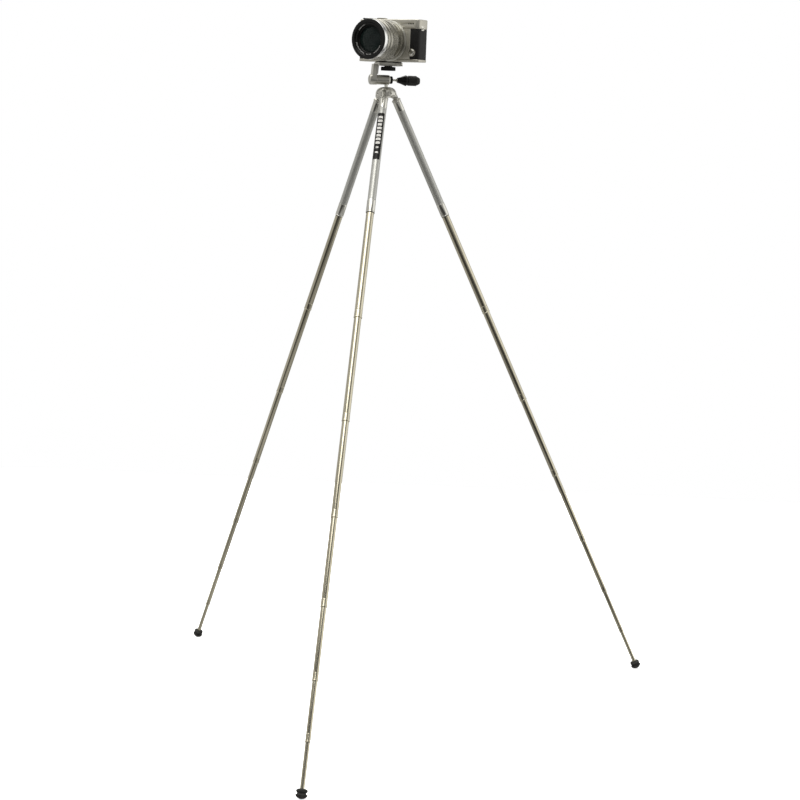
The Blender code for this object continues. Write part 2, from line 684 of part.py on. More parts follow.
def make_camera_screw(screw):
    """The screw and its knob turn about the frame's Z, which starts at the barrel's axis."""
    knob_top = PLATE_RISE - FIT_GAP
    knob_bottom = knob_top - KNOB_NECK_HEIGHT - KNOB_HEIGHT
    tip = CAMERA_RISE + SCREW_IN_CAMERA
    point = 0.8 * MM
    profile = [
        (0, tip),
        (SCREW_RADIUS - point, tip),
        (SCREW_RADIUS, tip - point),
        (SCREW_RADIUS, knob_bottom + 1 * MM),
        (0, knob_bottom + 1 * MM),
    ]
    mesh = profile_mesh("camera_screw", profile)
    spin(new_piece("camera_screw", mesh, STEEL, screw), 16)

    bore = SCREW_RADIUS + FIT_GAP
    edge = 0.8 * MM
    body_top = knob_top - KNOB_NECK_HEIGHT
    profile = [
        (bore, knob_top),
        (KNOB_NECK_RADIUS, knob_top),
        (KNOB_NECK_RADIUS, body_top),
        (KNOB_RADIUS - edge, body_top),
        (KNOB_RADIUS, body_top - edge),
        (KNOB_RADIUS, knob_bottom + edge),
        (KNOB_RADIUS - edge, knob_bottom),
        (bore, knob_bottom),
    ]
    mesh = profile_mesh("screw_knob", profile, closed=True)
    spin(new_piece("screw_knob", mesh, BLACK, screw), 32)


def make_handle(handle):
    """The threaded rod that clamps the tilt, and the grip on its end."""
    rod_end = GRIP_START + ROD_IN_GRIP
    ferrule_start = GRIP_START - FERRULE_LENGTH / 2
    ferrule_end = GRIP_START + FERRULE_LENGTH / 2
    profile = [
        (0, rod_end),
        (ROD_RADIUS, rod_end),
        (ROD_RADIUS, ferrule_end),
        (FERRULE_RADIUS, ferrule_end),
        (FERRULE_RADIUS, ferrule_start),
        (ROD_RADIUS, ferrule_start),
        (ROD_RADIUS, BOSS_START - ROD_IN_BOSS),
        (0, BOSS_START - ROD_IN_BOSS),
    ]
    rod = new_piece("handle_rod", profile_mesh("handle_rod", profile), STEEL, handle, turn=ALONG_X)
    spin(rod, 16)

    bore = ROD_RADIUS + FIT_GAP
    mouth = FERRULE_RADIUS + FIT_GAP
    cone_end = GRIP_START + GRIP_CONE_LENGTH
    body_start = cone_end + 2.2 * MM
    grip_end = GRIP_START + GRIP_LENGTH
    taper_start = grip_end - GRIP_TAPER_LENGTH
    profile = [
        (0, grip_end),
        (GRIP_END_RADIUS - 1.5 * MM, grip_end),
        (GRIP_END_RADIUS, grip_end - 1 * MM),
        (GRIP_BODY_RADIUS, taper_start),
        (GRIP_BODY_RADIUS, body_start + 0.6 * MM),
        (GRIP_BODY_RADIUS - 0.8 * MM, body_start),
        (GRIP_BEAD_RADIUS, cone_end),
        (GRIP_BEAD_RADIUS, cone_end - 1.4 * MM),
        (GRIP_TIP_RADIUS, GRIP_START),
        (mouth, GRIP_START),
        (mouth, ferrule_end + FIT_GAP),
        (bore, ferrule_end + FIT_GAP),
        (bore, rod_end + FIT_GAP),
        (0, rod_end + FIT_GAP),
    ]
    grip = new_piece("handle_grip", profile_mesh("handle_grip", profile), BLACK, handle, turn=ALONG_X)
    spin(grip, 28)


# ---------------------------------------------------------------- camera
def make_body(camera):
    """The frame's origin is on the base at the screw, +X along the body and -Y forward."""
    middle = (BODY_OFFSET, 0, 0)
    outline = rounded_rectangle(BODY_WIDTH, BODY_DEPTH, BODY_CORNER)
    mesh = extruded("bottom_plate", outline, BASE_HEIGHT)
    base = new_piece("bottom_plate", mesh, SILVER, camera, middle)
    soften(base, PLATE_EDGE)
    socket = cylinder_mesh("screw_socket", SCREW_RADIUS + FIT_GAP, 4 * BASE_HEIGHT, 16)
    cut(base, new_cutter("screw_socket", socket, camera))

    inset_outline = rounded_rectangle(
        BODY_WIDTH - 2 * BODY_INSET, BODY_DEPTH - 2 * BODY_INSET, BODY_CORNER - BODY_INSET
    )
    middle_height = MIDDLE_TOP - MIDDLE_BOTTOM
    mesh = extruded("body_middle", inset_outline, middle_height, MIDDLE_BOTTOM)
    body = new_piece("body_middle", mesh, BLACK, camera, middle)
    release_x, release_z = RELEASE_PLACE
    well = cylinder_mesh("release_well", RELEASE_RADIUS + FIT_GAP, 2 * RELEASE_DEPTH + 2 * MM, 24)
    release_place = (BODY_OFFSET + release_x, -BODY_DEPTH / 2 + BODY_INSET, release_z)
    forward = (math.radians(90), 0, 0)
    cut(body, new_cutter("release_well", well, camera, release_place, forward))
    throat = cylinder_mesh("throat", THROAT_RADIUS, BODY_DEPTH / 2, 32)
    lens_x, lens_z = LENS_PLACE
    throat_place = (BODY_OFFSET + lens_x, -BODY_DEPTH / 2, lens_z)
    cut(body, new_cutter("throat", throat, camera, throat_place, forward))

    mesh = extruded("top_plate", outline, TOP_HEIGHT, TOP_BOTTOM)
    top = new_piece("top_plate", mesh, SILVER, camera, middle)
    soften(top, PLATE_EDGE)
    make_hot_shoe(camera, top, lens_x)
    make_controls(camera, top)

    button = [
        (0, RELEASE_PROUD),
        (RELEASE_RADIUS - 0.8 * MM, RELEASE_PROUD),
        (RELEASE_RADIUS, RELEASE_PROUD - 0.8 * MM),
        (RELEASE_RADIUS, 1 * MM - RELEASE_DEPTH),
        (0, 1 * MM - RELEASE_DEPTH),
    ]
    mesh = profile_mesh("lens_release", button)
    spin(new_piece("lens_release", mesh, CHROME, camera, release_place, forward), 24)

    screen_top = MIDDLE_TOP - SCREEN_DROP
    hinge_place = (BODY_OFFSET + SCREEN_OFFSET, BODY_DEPTH / 2 + FIT_GAP, screen_top)
    size = (SCREEN_WIDTH, SCREEN_THICKNESS, SCREEN_HEIGHT)
    centre = (0, SCREEN_THICKNESS / 2, -SCREEN_HEIGHT / 2)
    screen = new_piece("rear_screen", box_mesh("rear_screen", size, centre), BLACK, camera, hinge_place)
    soften(screen, 0.8 * MM)


def make_hot_shoe(camera, top, shoe_x):
    """An accessory shoe, sunk in the top plate and open to the back."""
    place = (BODY_OFFSET + shoe_x, 0, BODY_HEIGHT + SHOE_PROUD - SHOE_HEIGHT)
    well_size = (SHOE_WIDTH + 2 * FIT_GAP, SHOE_DEPTH + 2 * FIT_GAP, 2 * SHOE_HEIGHT)
    well = box_mesh("shoe_well", well_size, (0, 0, SHOE_HEIGHT - FIT_GAP))
    cut(top, new_cutter("shoe_well", well, camera, place))
    mesh = box_mesh("hot_shoe", (SHOE_WIDTH, SHOE_DEPTH, SHOE_HEIGHT), (0, 0, SHOE_HEIGHT / 2))
    shoe = new_piece("hot_shoe", mesh, STEEL, camera, place)
    channel_height = SHOE_HEIGHT - SHOE_FLOOR - SHOE_LIP
    wall = (SHOE_WIDTH - SHOE_CHANNEL) / 2
    channel = box_mesh(
        "shoe_channel",
        (SHOE_CHANNEL, SHOE_DEPTH, channel_height),
        (0, wall, SHOE_FLOOR + channel_height / 2),
    )
    throat = box_mesh(
        "shoe_throat",
        (SHOE_THROAT, SHOE_DEPTH, SHOE_HEIGHT),
        (0, wall, SHOE_FLOOR + SHOE_HEIGHT / 2),
    )
    cut(shoe, new_cutter("shoe_channel", channel, camera, place))
    cut(shoe, new_cutter("shoe_throat", throat, camera, place))
    run_out = box_mesh(
        "shoe_run_out",
        (SHOE_CHANNEL, BODY_DEPTH, 2 * SHOE_HEIGHT),
        (0, BODY_DEPTH / 2 + SHOE_DEPTH / 2, SHOE_FLOOR + SHOE_HEIGHT),
    )
    cut(top, new_cutter("shoe_run_out", run_out, camera, place))


def knob_profile(radius, height, sunk, edge):
    """A flat knob that stands on a stub in its well."""
    return [
        (0, height),
        (radius - edge, height),
        (radius, height - edge),
        (radius, -sunk),
        (0, -sunk),
    ]


def make_controls(camera, top):
    """Release button, power lever and two dials, sunk in wells in the top plate."""
    sunk = 2 * MM
    button_x, button_y = BUTTON_PLACE
    place = (BODY_OFFSET + button_x, button_y, BODY_HEIGHT)
    well_radius = BUTTON_RADIUS + FIT_GAP
    profile = knob_profile(BUTTON_RADIUS, BUTTON_HEIGHT, sunk, 0.6 * MM)
    mesh = profile_mesh("shutter_button", profile)
    spin(new_piece("shutter_button", mesh, CHROME, camera, place), 24)
    well_depth = sunk + BUTTON_TRAVEL_GAP
    well = cylinder_mesh("button_well", well_radius, 2 * well_depth, 24)
    cut(top, new_cutter("button_well", well, camera, place))

    lever_bottom = FIT_GAP
    ring = extruded("power_lever", arc((0, 0), LEVER_RADIUS, 0, 345, 23), LEVER_HEIGHT, lever_bottom)
    lever = new_piece("power_lever", ring, BLACK, camera, place)
    tab_size = (LEVER_REACH, 3.6 * MM, LEVER_HEIGHT)
    tab_x = -(LEVER_RADIUS + LEVER_REACH / 2 - 0.8 * MM)
    tab = box_mesh("lever_tab", tab_size, (0, 0, lever_bottom + LEVER_HEIGHT / 2))
    tab.transform(Matrix.Translation((tab_x, 0, 0)))
    join(lever, new_cutter("lever_tab", tab, camera, place, (0, 0, math.radians(50))))
    hole = cylinder_mesh("lever_hole", well_radius, 4 * LEVER_HEIGHT, 24)
    cut(lever, new_cutter("lever_hole", hole, camera, place))

    for name, radius, height, (x, y) in (
        ("mode_dial", MODE_DIAL_RADIUS, MODE_DIAL_HEIGHT, MODE_DIAL_PLACE),
        ("command_dial", COMMAND_DIAL_RADIUS, COMMAND_DIAL_HEIGHT, COMMAND_DIAL_PLACE),
    ):
        place = (BODY_OFFSET + x, y, BODY_HEIGHT)
        mesh = profile_mesh(name, knob_profile(radius, height, sunk, 0.5 * MM))
        spin(new_piece(name, mesh, CHROME, camera, place), 28)
        well = cylinder_mesh(name + "_well", radius + FIT_GAP, 2 * (sunk + FIT_GAP), 28)
        cut(top, new_cutter(name + "_well", well, camera, place))


def make_lens(lens):
    """The frame's origin is on the body's front face, and +Z runs forward."""

    def ring(name, profile, look, closed=True):
        return spin(new_piece(name, profile_mesh(name, profile, closed), look, lens), LENS_SIDES)

    edge = 0.6 * MM
    flange_bottom = FIT_GAP
    flange_top = flange_bottom + FLANGE_THICKNESS
    flange = [
        (THROAT_RADIUS, flange_top),
        (FLANGE_RADIUS - edge, flange_top),
        (FLANGE_RADIUS, flange_top - edge),
        (FLANGE_RADIUS, flange_bottom),
        (THROAT_RADIUS, flange_bottom),
    ]
    ring("mount_flange", flange, CHROME)

    guide_inner = GUIDE_RADIUS - GUIDE_WALL
    rear_end = REAR_START + REAR_LENGTH
    rear = [
        (guide_inner, GUIDE_END),
        (GUIDE_RADIUS, GUIDE_END),
        (GUIDE_RADIUS, rear_end),
        (REAR_RADIUS, rear_end),
        (REAR_RADIUS, REAR_START + 4 * MM),
        (REAR_RADIUS - 1.2 * MM, REAR_START),
        (guide_inner, REAR_START),
    ]
    ring("rear_barrel", rear, SILVER)

    for name, start, length, radius in (
        ("zoom_ring", ZOOM_START, ZOOM_LENGTH, ZOOM_RADIUS),
        ("focus_ring", FOCUS_START, FOCUS_LENGTH, FOCUS_RADIUS),
    ):
        end = start + length
        inner = FOCUS_RADIUS - RING_WALL
        profile = [
            (inner, end),
            (radius - edge, end),
            (radius, end - edge),
            (radius, start + edge),
            (radius - edge, start),
            (inner, start),
        ]
        ring(name, profile, SILVER)

    front_face = FRONT_START + FRONT_LENGTH
    glass_edge_z = front_face - GLASS_DEPTH
    seat_z = glass_edge_z - GLASS_EDGE - FIT_GAP
    inner_top = FRONT_START - FIT_GAP
    inner = tube_profile(INNER_RADIUS, INNER_RADIUS - INNER_WALL, FRONT_START - INNER_OVERLAP, inner_top)
    ring("inner_barrel", inner, BLACK)

    seat_radius = GLASS_RADIUS - RETAINER_LIP
    front = [
        (FRONT_BORE_RADIUS, front_face - edge),
        (FRONT_BORE_RADIUS + edge, front_face),
        (FRONT_RADIUS - 1.5 * MM, front_face),
        (FRONT_RADIUS, front_face - 1.5 * MM),
        (FRONT_RADIUS, FRONT_START),
        (seat_radius, FRONT_START),
        (seat_radius, seat_z),
        (GLASS_RADIUS + FIT_GAP, seat_z),
        (GLASS_RADIUS + FIT_GAP, glass_edge_z + 1 * MM),
        (FRONT_BORE_RADIUS, front_face - 3.5 * MM),
    ]
    ring("front_ring", front, BLACK)

    glass_radius = (GLASS_RADIUS**2 + GLASS_CROWN**2) / (2 * GLASS_CROWN)
    rise = math.degrees(math.asin(GLASS_RADIUS / glass_radius))
    bulge_centre = (0, glass_edge_z + GLASS_CROWN - glass_radius)
    bulge = arc(bulge_centre, glass_radius, 90, 90 - rise, 4)
    glass = [*bulge, (GLASS_RADIUS, glass_edge_z - GLASS_EDGE), (0, glass_edge_z - GLASS_EDGE)]
    ring("front_element", glass, GLASS, closed=False)


def make_camera(tilt):
    turn = (0, 0, CAMERA_TURN)
    camera = new_empty("camera", tilt, (SCREW_OFFSET, 0, CAMERA_RISE), turn)
    make_body(camera)
    lens_x, lens_z = LENS_PLACE
    lens_place = (BODY_OFFSET + lens_x, -BODY_DEPTH / 2, lens_z)
    lens = new_empty("lens", camera, lens_place, (math.radians(90), 0, 0))
    make_lens(lens)


# ---------------------------------------------------------------- assembly
for old in list(bpy.data.objects):
    bpy.data.objects.remove(old)

PARTS = new_collection("camera_on_tripod")
CUTTERS = new_collection("cutters")

CHROME = new_material("satin_chrome", (0.62, 0.62, 0.58), 1.0, 0.25)
STEEL = new_material("bright_steel", (0.7, 0.7, 0.7), 1.0, 0.2)
SATIN = new_material("satin_tube", (0.42, 0.42, 0.41), 1.0, 0.38)
BRASS = new_material("nickel_brass_tube", (0.62, 0.56, 0.42), 1.0, 0.22)
SILVER = new_material("silver_paint", (0.6, 0.59, 0.55), 0.6, 0.35)
BLACK = new_material("black_plastic", (0.02, 0.02, 0.02), 0.0, 0.45)
RUBBER = new_material("black_rubber", (0.025, 0.025, 0.025), 0.0, 0.8)
GLASS = new_material("lens_glass", (0.02, 0.03, 0.03), 0.0, 0.03)

TRIPOD = make_tripod()
PAN = new_empty("pan", TRIPOD, (0, 0, BARREL_Z), (0, 0, BARREL_AZIMUTH))
make_pan(PAN)
TILT_AXIS = new_empty("tilt", PAN, turn=(TILT, 0, 0))
make_bracket(TILT_AXIS)
SCREW_AXIS = new_empty("screw", TILT_AXIS, (SCREW_OFFSET, 0, 0))
make_camera_screw(SCREW_AXIS)
make_handle(TILT_AXIS)
make_camera(TILT_AXIS)
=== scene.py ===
"""Looks for a compact camera on a tall folding tripod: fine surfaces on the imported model, in metres.

Every place comes from the frame: a joint gives an assembly its axes, and a node gives its extent
along them. What is turned, lofted or patterned is then worked out from those extents.
"""

import json
import math

import bmesh
import bpy
from bpy.props import FloatProperty, FloatVectorProperty, IntProperty, PointerProperty
from mathutils import Matrix, Vector


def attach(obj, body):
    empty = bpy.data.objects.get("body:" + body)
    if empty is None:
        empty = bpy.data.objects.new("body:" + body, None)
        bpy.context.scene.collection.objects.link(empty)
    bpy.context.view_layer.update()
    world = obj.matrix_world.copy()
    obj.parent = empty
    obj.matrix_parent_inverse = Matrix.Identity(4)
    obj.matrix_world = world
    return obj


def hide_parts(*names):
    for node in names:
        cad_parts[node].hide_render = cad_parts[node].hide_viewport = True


bl_info = {
    "name": "Camera on a folding tripod",
    "version": (1, 0, 0),
    "blender": (4, 5, 0),
    "location": "3D View > Sidebar > Camera",
    "description": "Builds the finished surfaces of a compact camera on a telescoping tripod",
    "category": "Add Mesh",
}

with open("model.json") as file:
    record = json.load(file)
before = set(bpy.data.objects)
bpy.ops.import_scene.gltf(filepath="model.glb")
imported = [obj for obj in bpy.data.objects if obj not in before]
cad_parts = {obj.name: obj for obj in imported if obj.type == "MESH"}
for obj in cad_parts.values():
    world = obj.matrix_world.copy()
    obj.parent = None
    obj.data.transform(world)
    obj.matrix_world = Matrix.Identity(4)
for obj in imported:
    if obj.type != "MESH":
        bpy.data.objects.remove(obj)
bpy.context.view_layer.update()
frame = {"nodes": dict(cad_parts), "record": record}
NODES = frame["nodes"]
JOINTS = {joint["name"]: joint for joint in frame["record"]["behaviour"]["joints"]}
LEGS = ("front_leg", "left_leg", "right_leg")
SECTIONS = range(2, 9)
MM = 0.001
LEG_HEIGHT = JOINTS["front_leg_fold"]["pos_m"][2]
SCREW_HOLE = 3.4 * MM  # radius of the hole that the camera screw passes through
MOUNT_HOLE = 22 * MM  # radius of the opening behind the lens
ZOOM_INDEX = 1.35  # where the zoom ring's first tick meets the index dot, in radians


# ---------------------------------------------------------------- places
def placing(origin, x_axis, z_axis):
    """The matrix of a frame with this origin, X and Z."""
    z = Vector(z_axis).normalized()
    x = Vector(x_axis)
    x = (x - z * x.dot(z)).normalized()
    y = z.cross(x)
    return Matrix.Translation(origin) @ Matrix((x, y, z)).transposed().to_4x4()


def leg_placing(leg):
    """The origin is the hinge pin, Y is along it, and -Z runs down the leg."""
    fold = JOINTS[leg + "_fold"]
    along = Vector(JOINTS[leg + "_slide_2"]["axis"])
    return placing(fold["pos_m"], Vector(fold["axis"]).cross(along), along)


UPRIGHT = placing(JOINTS["pan"]["pos_m"], (1, 0, 0), (0, 0, 1))
PAN = placing(JOINTS["pan"]["pos_m"], JOINTS["tilt"]["axis"], (0, 0, 1))
TILT = placing(JOINTS["tilt"]["pos_m"], JOINTS["tilt"]["axis"], JOINTS["screw_turn"]["axis"])
CAMERA = placing(
    JOINTS["camera_turn"]["pos_m"], JOINTS["screen_tilt"]["axis"], JOINTS["camera_turn"]["axis"]
)
LENS = placing(JOINTS["zoom"]["pos_m"], JOINTS["screen_tilt"]["axis"], JOINTS["zoom"]["axis"])
ALONG_X = Matrix.Rotation(math.radians(90), 4, "Y")
TOWARDS_FRONT = Matrix.Rotation(math.radians(90), 4, "X")
SCREW = placing(JOINTS["screw_turn"]["pos_m"], JOINTS["tilt"]["axis"], JOINTS["screw_turn"]["axis"])


def extent(node, place):
    """Lowest and highest corner of a node along the axes of a frame."""
    inverse = place.inverted()
    points = [inverse @ vertex.co for vertex in NODES[node].data.vertices]
    low = Vector(min(point[axis] for point in points) for axis in range(3))
    high = Vector(max(point[axis] for point in points) for axis in range(3))
    return low, high


# ---------------------------------------------------------------- shader expressions
class Value:
    """A number on a material's nodes; arithmetic on it adds Math nodes."""

    def __init__(self, look, socket):
        self.look = look
        self.socket = socket

    def _math(self, operation, first, second=None):
        inputs = {0: first} if second is None else {0: first, 1: second}
        return self.look.value("ShaderNodeMath", {"operation": operation}, inputs)

    def __add__(self, other):
        return self._math("ADD", self, other)

    __radd__ = __add__

    def __sub__(self, other):
        return self._math("SUBTRACT", self, other)

    def __rsub__(self, other):
        return self._math("SUBTRACT", other, self)

    def __mul__(self, other):
        return self._math("MULTIPLY", self, other)

    __rmul__ = __mul__

    def __truediv__(self, other):
        return self._math("DIVIDE", self, other)

    def wave(self):
        return self._math("SINE", self)

    def clipped(self):
        return self.look.value("ShaderNodeClamp", {}, {"Value": self, "Min": 0.0, "Max": 1.0})


class Look:
    """A material with one Principled shader."""

    def __init__(self, name, colour, metallic=0.0, roughness=0.5, **fixed):
        self.material = bpy.data.materials.new(name)
        self.material.use_nodes = True
        self.tree = self.material.node_tree
        self.shader = self.tree.nodes["Principled BSDF"]
        self.colour = (*colour, 1.0) if len(colour) == 3 else tuple(colour)
        self.set("Base Color", self.colour)
        self.set("Metallic", metallic)
        self.set("Roughness", roughness)
        for socket, value in fixed.items():
            self.set(socket.replace("_", " "), value)

    def node(self, kind, settings, inputs):
        made = self.tree.nodes.new(kind)
        for name, value in settings.items():
            if name == "stops":
                self.set_stops(made.color_ramp, value)
            else:
                setattr(made, name, value)
        for name, value in inputs.items():
            self.feed(made.inputs[name], value)
        return made

    @staticmethod
    def set_stops(ramp, stops):
        while len(ramp.elements) < len(stops):
            ramp.elements.new(0.5)
        for element, (place, colour) in zip(ramp.elements, stops):
            element.position = place
            element.color = (*colour, 1.0)

    def feed(self, socket, value):
        if isinstance(value, Value):
            self.tree.links.new(value.socket, socket)
        elif isinstance(value, bpy.types.NodeSocket):
            self.tree.links.new(value, socket)
        else:
            socket.default_value = value

    def set(self, socket, value):
        self.feed(self.shader.inputs[socket], value)

    def value(self, kind, settings, inputs, output=0):
        return Value(self, self.node(kind, settings, inputs).outputs[output])

    def places(self, source="Object", stretch=(1, 1, 1)):
        """Coordinates of the surface, stretched along each axis."""
        coordinates = self.node("ShaderNodeTexCoord", {}, {}).outputs[source]
        mapping = self.node("ShaderNodeMapping", {}, {"Vector": coordinates, "Scale": stretch})
        return mapping.outputs["Vector"]

    def noise(self, scale, detail=3.0, source="Object", stretch=(1, 1, 1)):
        inputs = {"Vector": self.places(source, stretch), "Scale": scale, "Detail": detail}
        return self.value("ShaderNodeTexNoise", {}, inputs)

    def cells(self, scale, feature="F1"):
        inputs = {"Vector": self.places(), "Scale": scale}
        return self.value("ShaderNodeTexVoronoi", {"feature": feature}, inputs)

    def mixed(self, factor, first, second):
        """Two colours mixed by a value."""
        inputs = {"Factor": factor}
        made = self.node("ShaderNodeMix", {"data_type": "RGBA"}, inputs)
        self.feed(made.inputs[6], first if not isinstance(first, tuple) else (*first[:3], 1.0))
        self.feed(made.inputs[7], second if not isinstance(second, tuple) else (*second[:3], 1.0))
        return made.outputs[2]

    def bump(self, height, distance, strength=1.0):
        inputs = {"Height": height, "Distance": distance, "Strength": strength}
        made = self.node("ShaderNodeBump", {}, inputs)
        self.set("Normal", made.outputs["Normal"])


def shade(colour, factor):
    return tuple(min(1.0, part * factor) for part in colour[:3])


# ---------------------------------------------------------------- finishes
def brushed_tube(name, colour, metallic, roughness, tarnish):
    """Drawn metal tube: fine lines along it, soft blotches and a little tarnish."""
    look = Look(name, colour, metallic, roughness)
    lines = look.noise(1400.0, 2.0, "UV", (1.0, 0.02, 1.0))
    blotch = look.noise(38.0, 4.0)
    wear = (look.noise(11.0, 3.0) - 0.5) * 1.6 + 0.5
    base = look.mixed(wear.clipped(), shade(colour, 1.06), tarnish)
    look.set("Base Color", look.mixed((lines - 0.35) * 0.5, base, shade(colour, 0.78)))
    look.set("Roughness", roughness + (lines - 0.5) * 0.16 + (blotch - 0.5) * 0.14)
    look.bump(lines, 0.00002, 0.35)
    return look.material


def cast_chrome(name, colour, roughness):
    """Satin plating on a casting: faintly uneven, with small rubbed patches."""
    look = Look(name, colour, 1.0, roughness)
    grain = look.noise(2600.0, 2.0)
    rubbed = look.noise(95.0, 4.0)
    base = look.mixed((rubbed - 0.45).clipped() * 0.9, colour, shade(colour, 0.8))
    look.set("Base Color", base)
    look.set("Roughness", roughness + (rubbed - 0.5) * 0.16 + (grain - 0.5) * 0.08)
    look.bump(grain * 0.4 + look.noise(420.0, 2.0), 0.00002, 0.15)
    return look.material


def turned_metal(name, colour, roughness, pitch):
    """Lathe-turned metal: even lines round the axis that follow the surface."""
    look = Look(name, colour, 1.0, roughness)
    split = look.node("ShaderNodeSeparateXYZ", {}, {"Vector": look.places("UV")})
    along = Value(look, split.outputs["Y"])
    lines = (along * (math.tau / pitch)).wave() * 0.5 + 0.5
    streaks = look.noise(900.0, 2.0, "UV", (0.03, 1.0, 1.0))
    haze = look.noise(60.0, 3.0)
    look.set("Base Color", look.mixed((streaks - 0.4).clipped(), colour, shade(colour, 0.88)))
    look.set("Roughness", roughness + (streaks - 0.5) * 0.1 + (haze - 0.5) * 0.1)
    look.bump(lines * 0.6 + streaks * 0.5, 0.000015, 0.25)
    return look.material


def silver_paint(name, colour):
    """Fine metallic paint with a sandblasted grain."""
    look = Look(name, colour, 0.75, 0.36, Coat_Weight=0.15, Coat_Roughness=0.25)
    grain = look.noise(5200.0, 2.0)
    cloud = look.noise(45.0, 3.0)
    look.set("Base Color", look.mixed((grain - 0.35).clipped(), colour, shade(colour, 0.82)))
    look.set("Roughness", 0.34 + (grain - 0.5) * 0.18 + (cloud - 0.5) * 0.1)
    look.bump(grain, 0.00003, 0.35)
    return look.material


def leatherette(name, colour):
    """Pebbled black covering: rounded cells of uneven size with creases between, each pebble painted
    lighter on top and darker into the creases as painted shade.
    """
    look = Look(name, colour, 0.0, 0.55, Specular_IOR_Level=0.25)
    pebble = look.cells(1050.0)
    crease = look.cells(1050.0, "DISTANCE_TO_EDGE")
    fine = look.noise(3400.0, 3.0)
    # painted shade: the colour darkens from each pebble's middle towards the creases between pebbles
    look.set("Base Color", look.mixed((pebble * 1.1).clipped(), shade(colour, 1.5), shade(colour, 0.6)))
    look.set("Roughness", 0.5 + (fine - 0.5) * 0.3 - crease * 0.2)
    look.bump(fine * 0.15 - pebble, 0.00016, 0.75)
    return look.material


def moulded_black(name, colour, roughness, grain_scale=2400.0):
    """Black plastic with a spark-eroded grain and lighter scuffs."""
    look = Look(name, colour, 0.0, roughness, Specular_IOR_Level=0.25)
    grain = look.noise(grain_scale, 3.0)
    scuff = look.noise(130.0, 5.0)
    look.set("Base Color", look.mixed((scuff - 0.55).clipped() * 1.6, colour, shade(colour, 2.4)))
    look.set("Roughness", roughness + (grain - 0.5) * 0.18 + (scuff - 0.5) * 0.15)
    look.bump(grain, 0.00004, 0.45)
    return look.material


def foot_rubber(name, colour):
    """Matte rubber, dusty and scuffed towards the floor."""
    look = Look(name, colour, 0.0, 0.82)
    dust = look.noise(160.0, 5.0)
    pores = look.noise(1900.0, 3.0)
    split = look.node("ShaderNodeSeparateXYZ", {}, {"Vector": look.places()})
    low = (1.0 - Value(look, split.outputs["Z"]) / (9 * MM)).clipped()
    dusty = ((dust - 0.42) * 2.0).clipped() * (0.25 + low * 0.6)
    look.set("Base Color", look.mixed(dusty, colour, (0.16, 0.15, 0.13)))
    look.set("Roughness", 0.74 + dust * 0.16)
    look.bump(pores * 0.5 + dust, 0.00008, 0.6)
    return look.material


def coated_glass(name, colour, painted_sheen, alpha):
    """Coated optical glass: clear, with the coating's coloured sheen painted into its colour in soft
    clouds.
    """
    look = Look(name, colour, 0.0, 0.03, Coat_Weight=0.25, Coat_Roughness=0.02, Specular_IOR_Level=0.2)
    cloud = look.noise(55.0, 2.0)
    # painted sheen: the coating's coloured reflection mixed into the base colour by cloud noise
    look.set("Base Color", look.mixed(cloud, colour, painted_sheen))
    look.set("Roughness", 0.02 + (cloud - 0.4).clipped() * 0.08)
    look.set("Alpha", alpha)
    return look.material


def print_white(name, colour):
    """Filled white marking paint."""
    look = Look(name, colour, 0.0, 0.5)
    look.set("Roughness", 0.44 + look.noise(1500.0) * 0.2)
    return look.material


def display_glass(name):
    """Dark glass over a display that is off."""
    look = Look(name, (0.008, 0.009, 0.012), 0.0, 0.06, Coat_Weight=0.8, Coat_Roughness=0.03)
    smear = look.noise(70.0, 4.0)
    look.set("Roughness", 0.05 + (smear - 0.45).clipped() * 0.5)
    return look.material


PAPER_GLOW = 0.7


def studio_paper(name, colour):
    """Seamless pale paper, lit until it is almost white."""
    look = Look(name, colour, 0.0, 0.9)
    fibre = look.noise(900.0, 3.0)
    look.set("Base Color", look.mixed(fibre, colour, shade(colour, 0.985)))
    look.set("Emission Color", (1.0, 1.0, 1.0, 1.0))
    look.set("Emission Strength", PAPER_GLOW)
    look.bump(fibre, 0.00005, 0.1)
    return look.material


FINISHES = {}


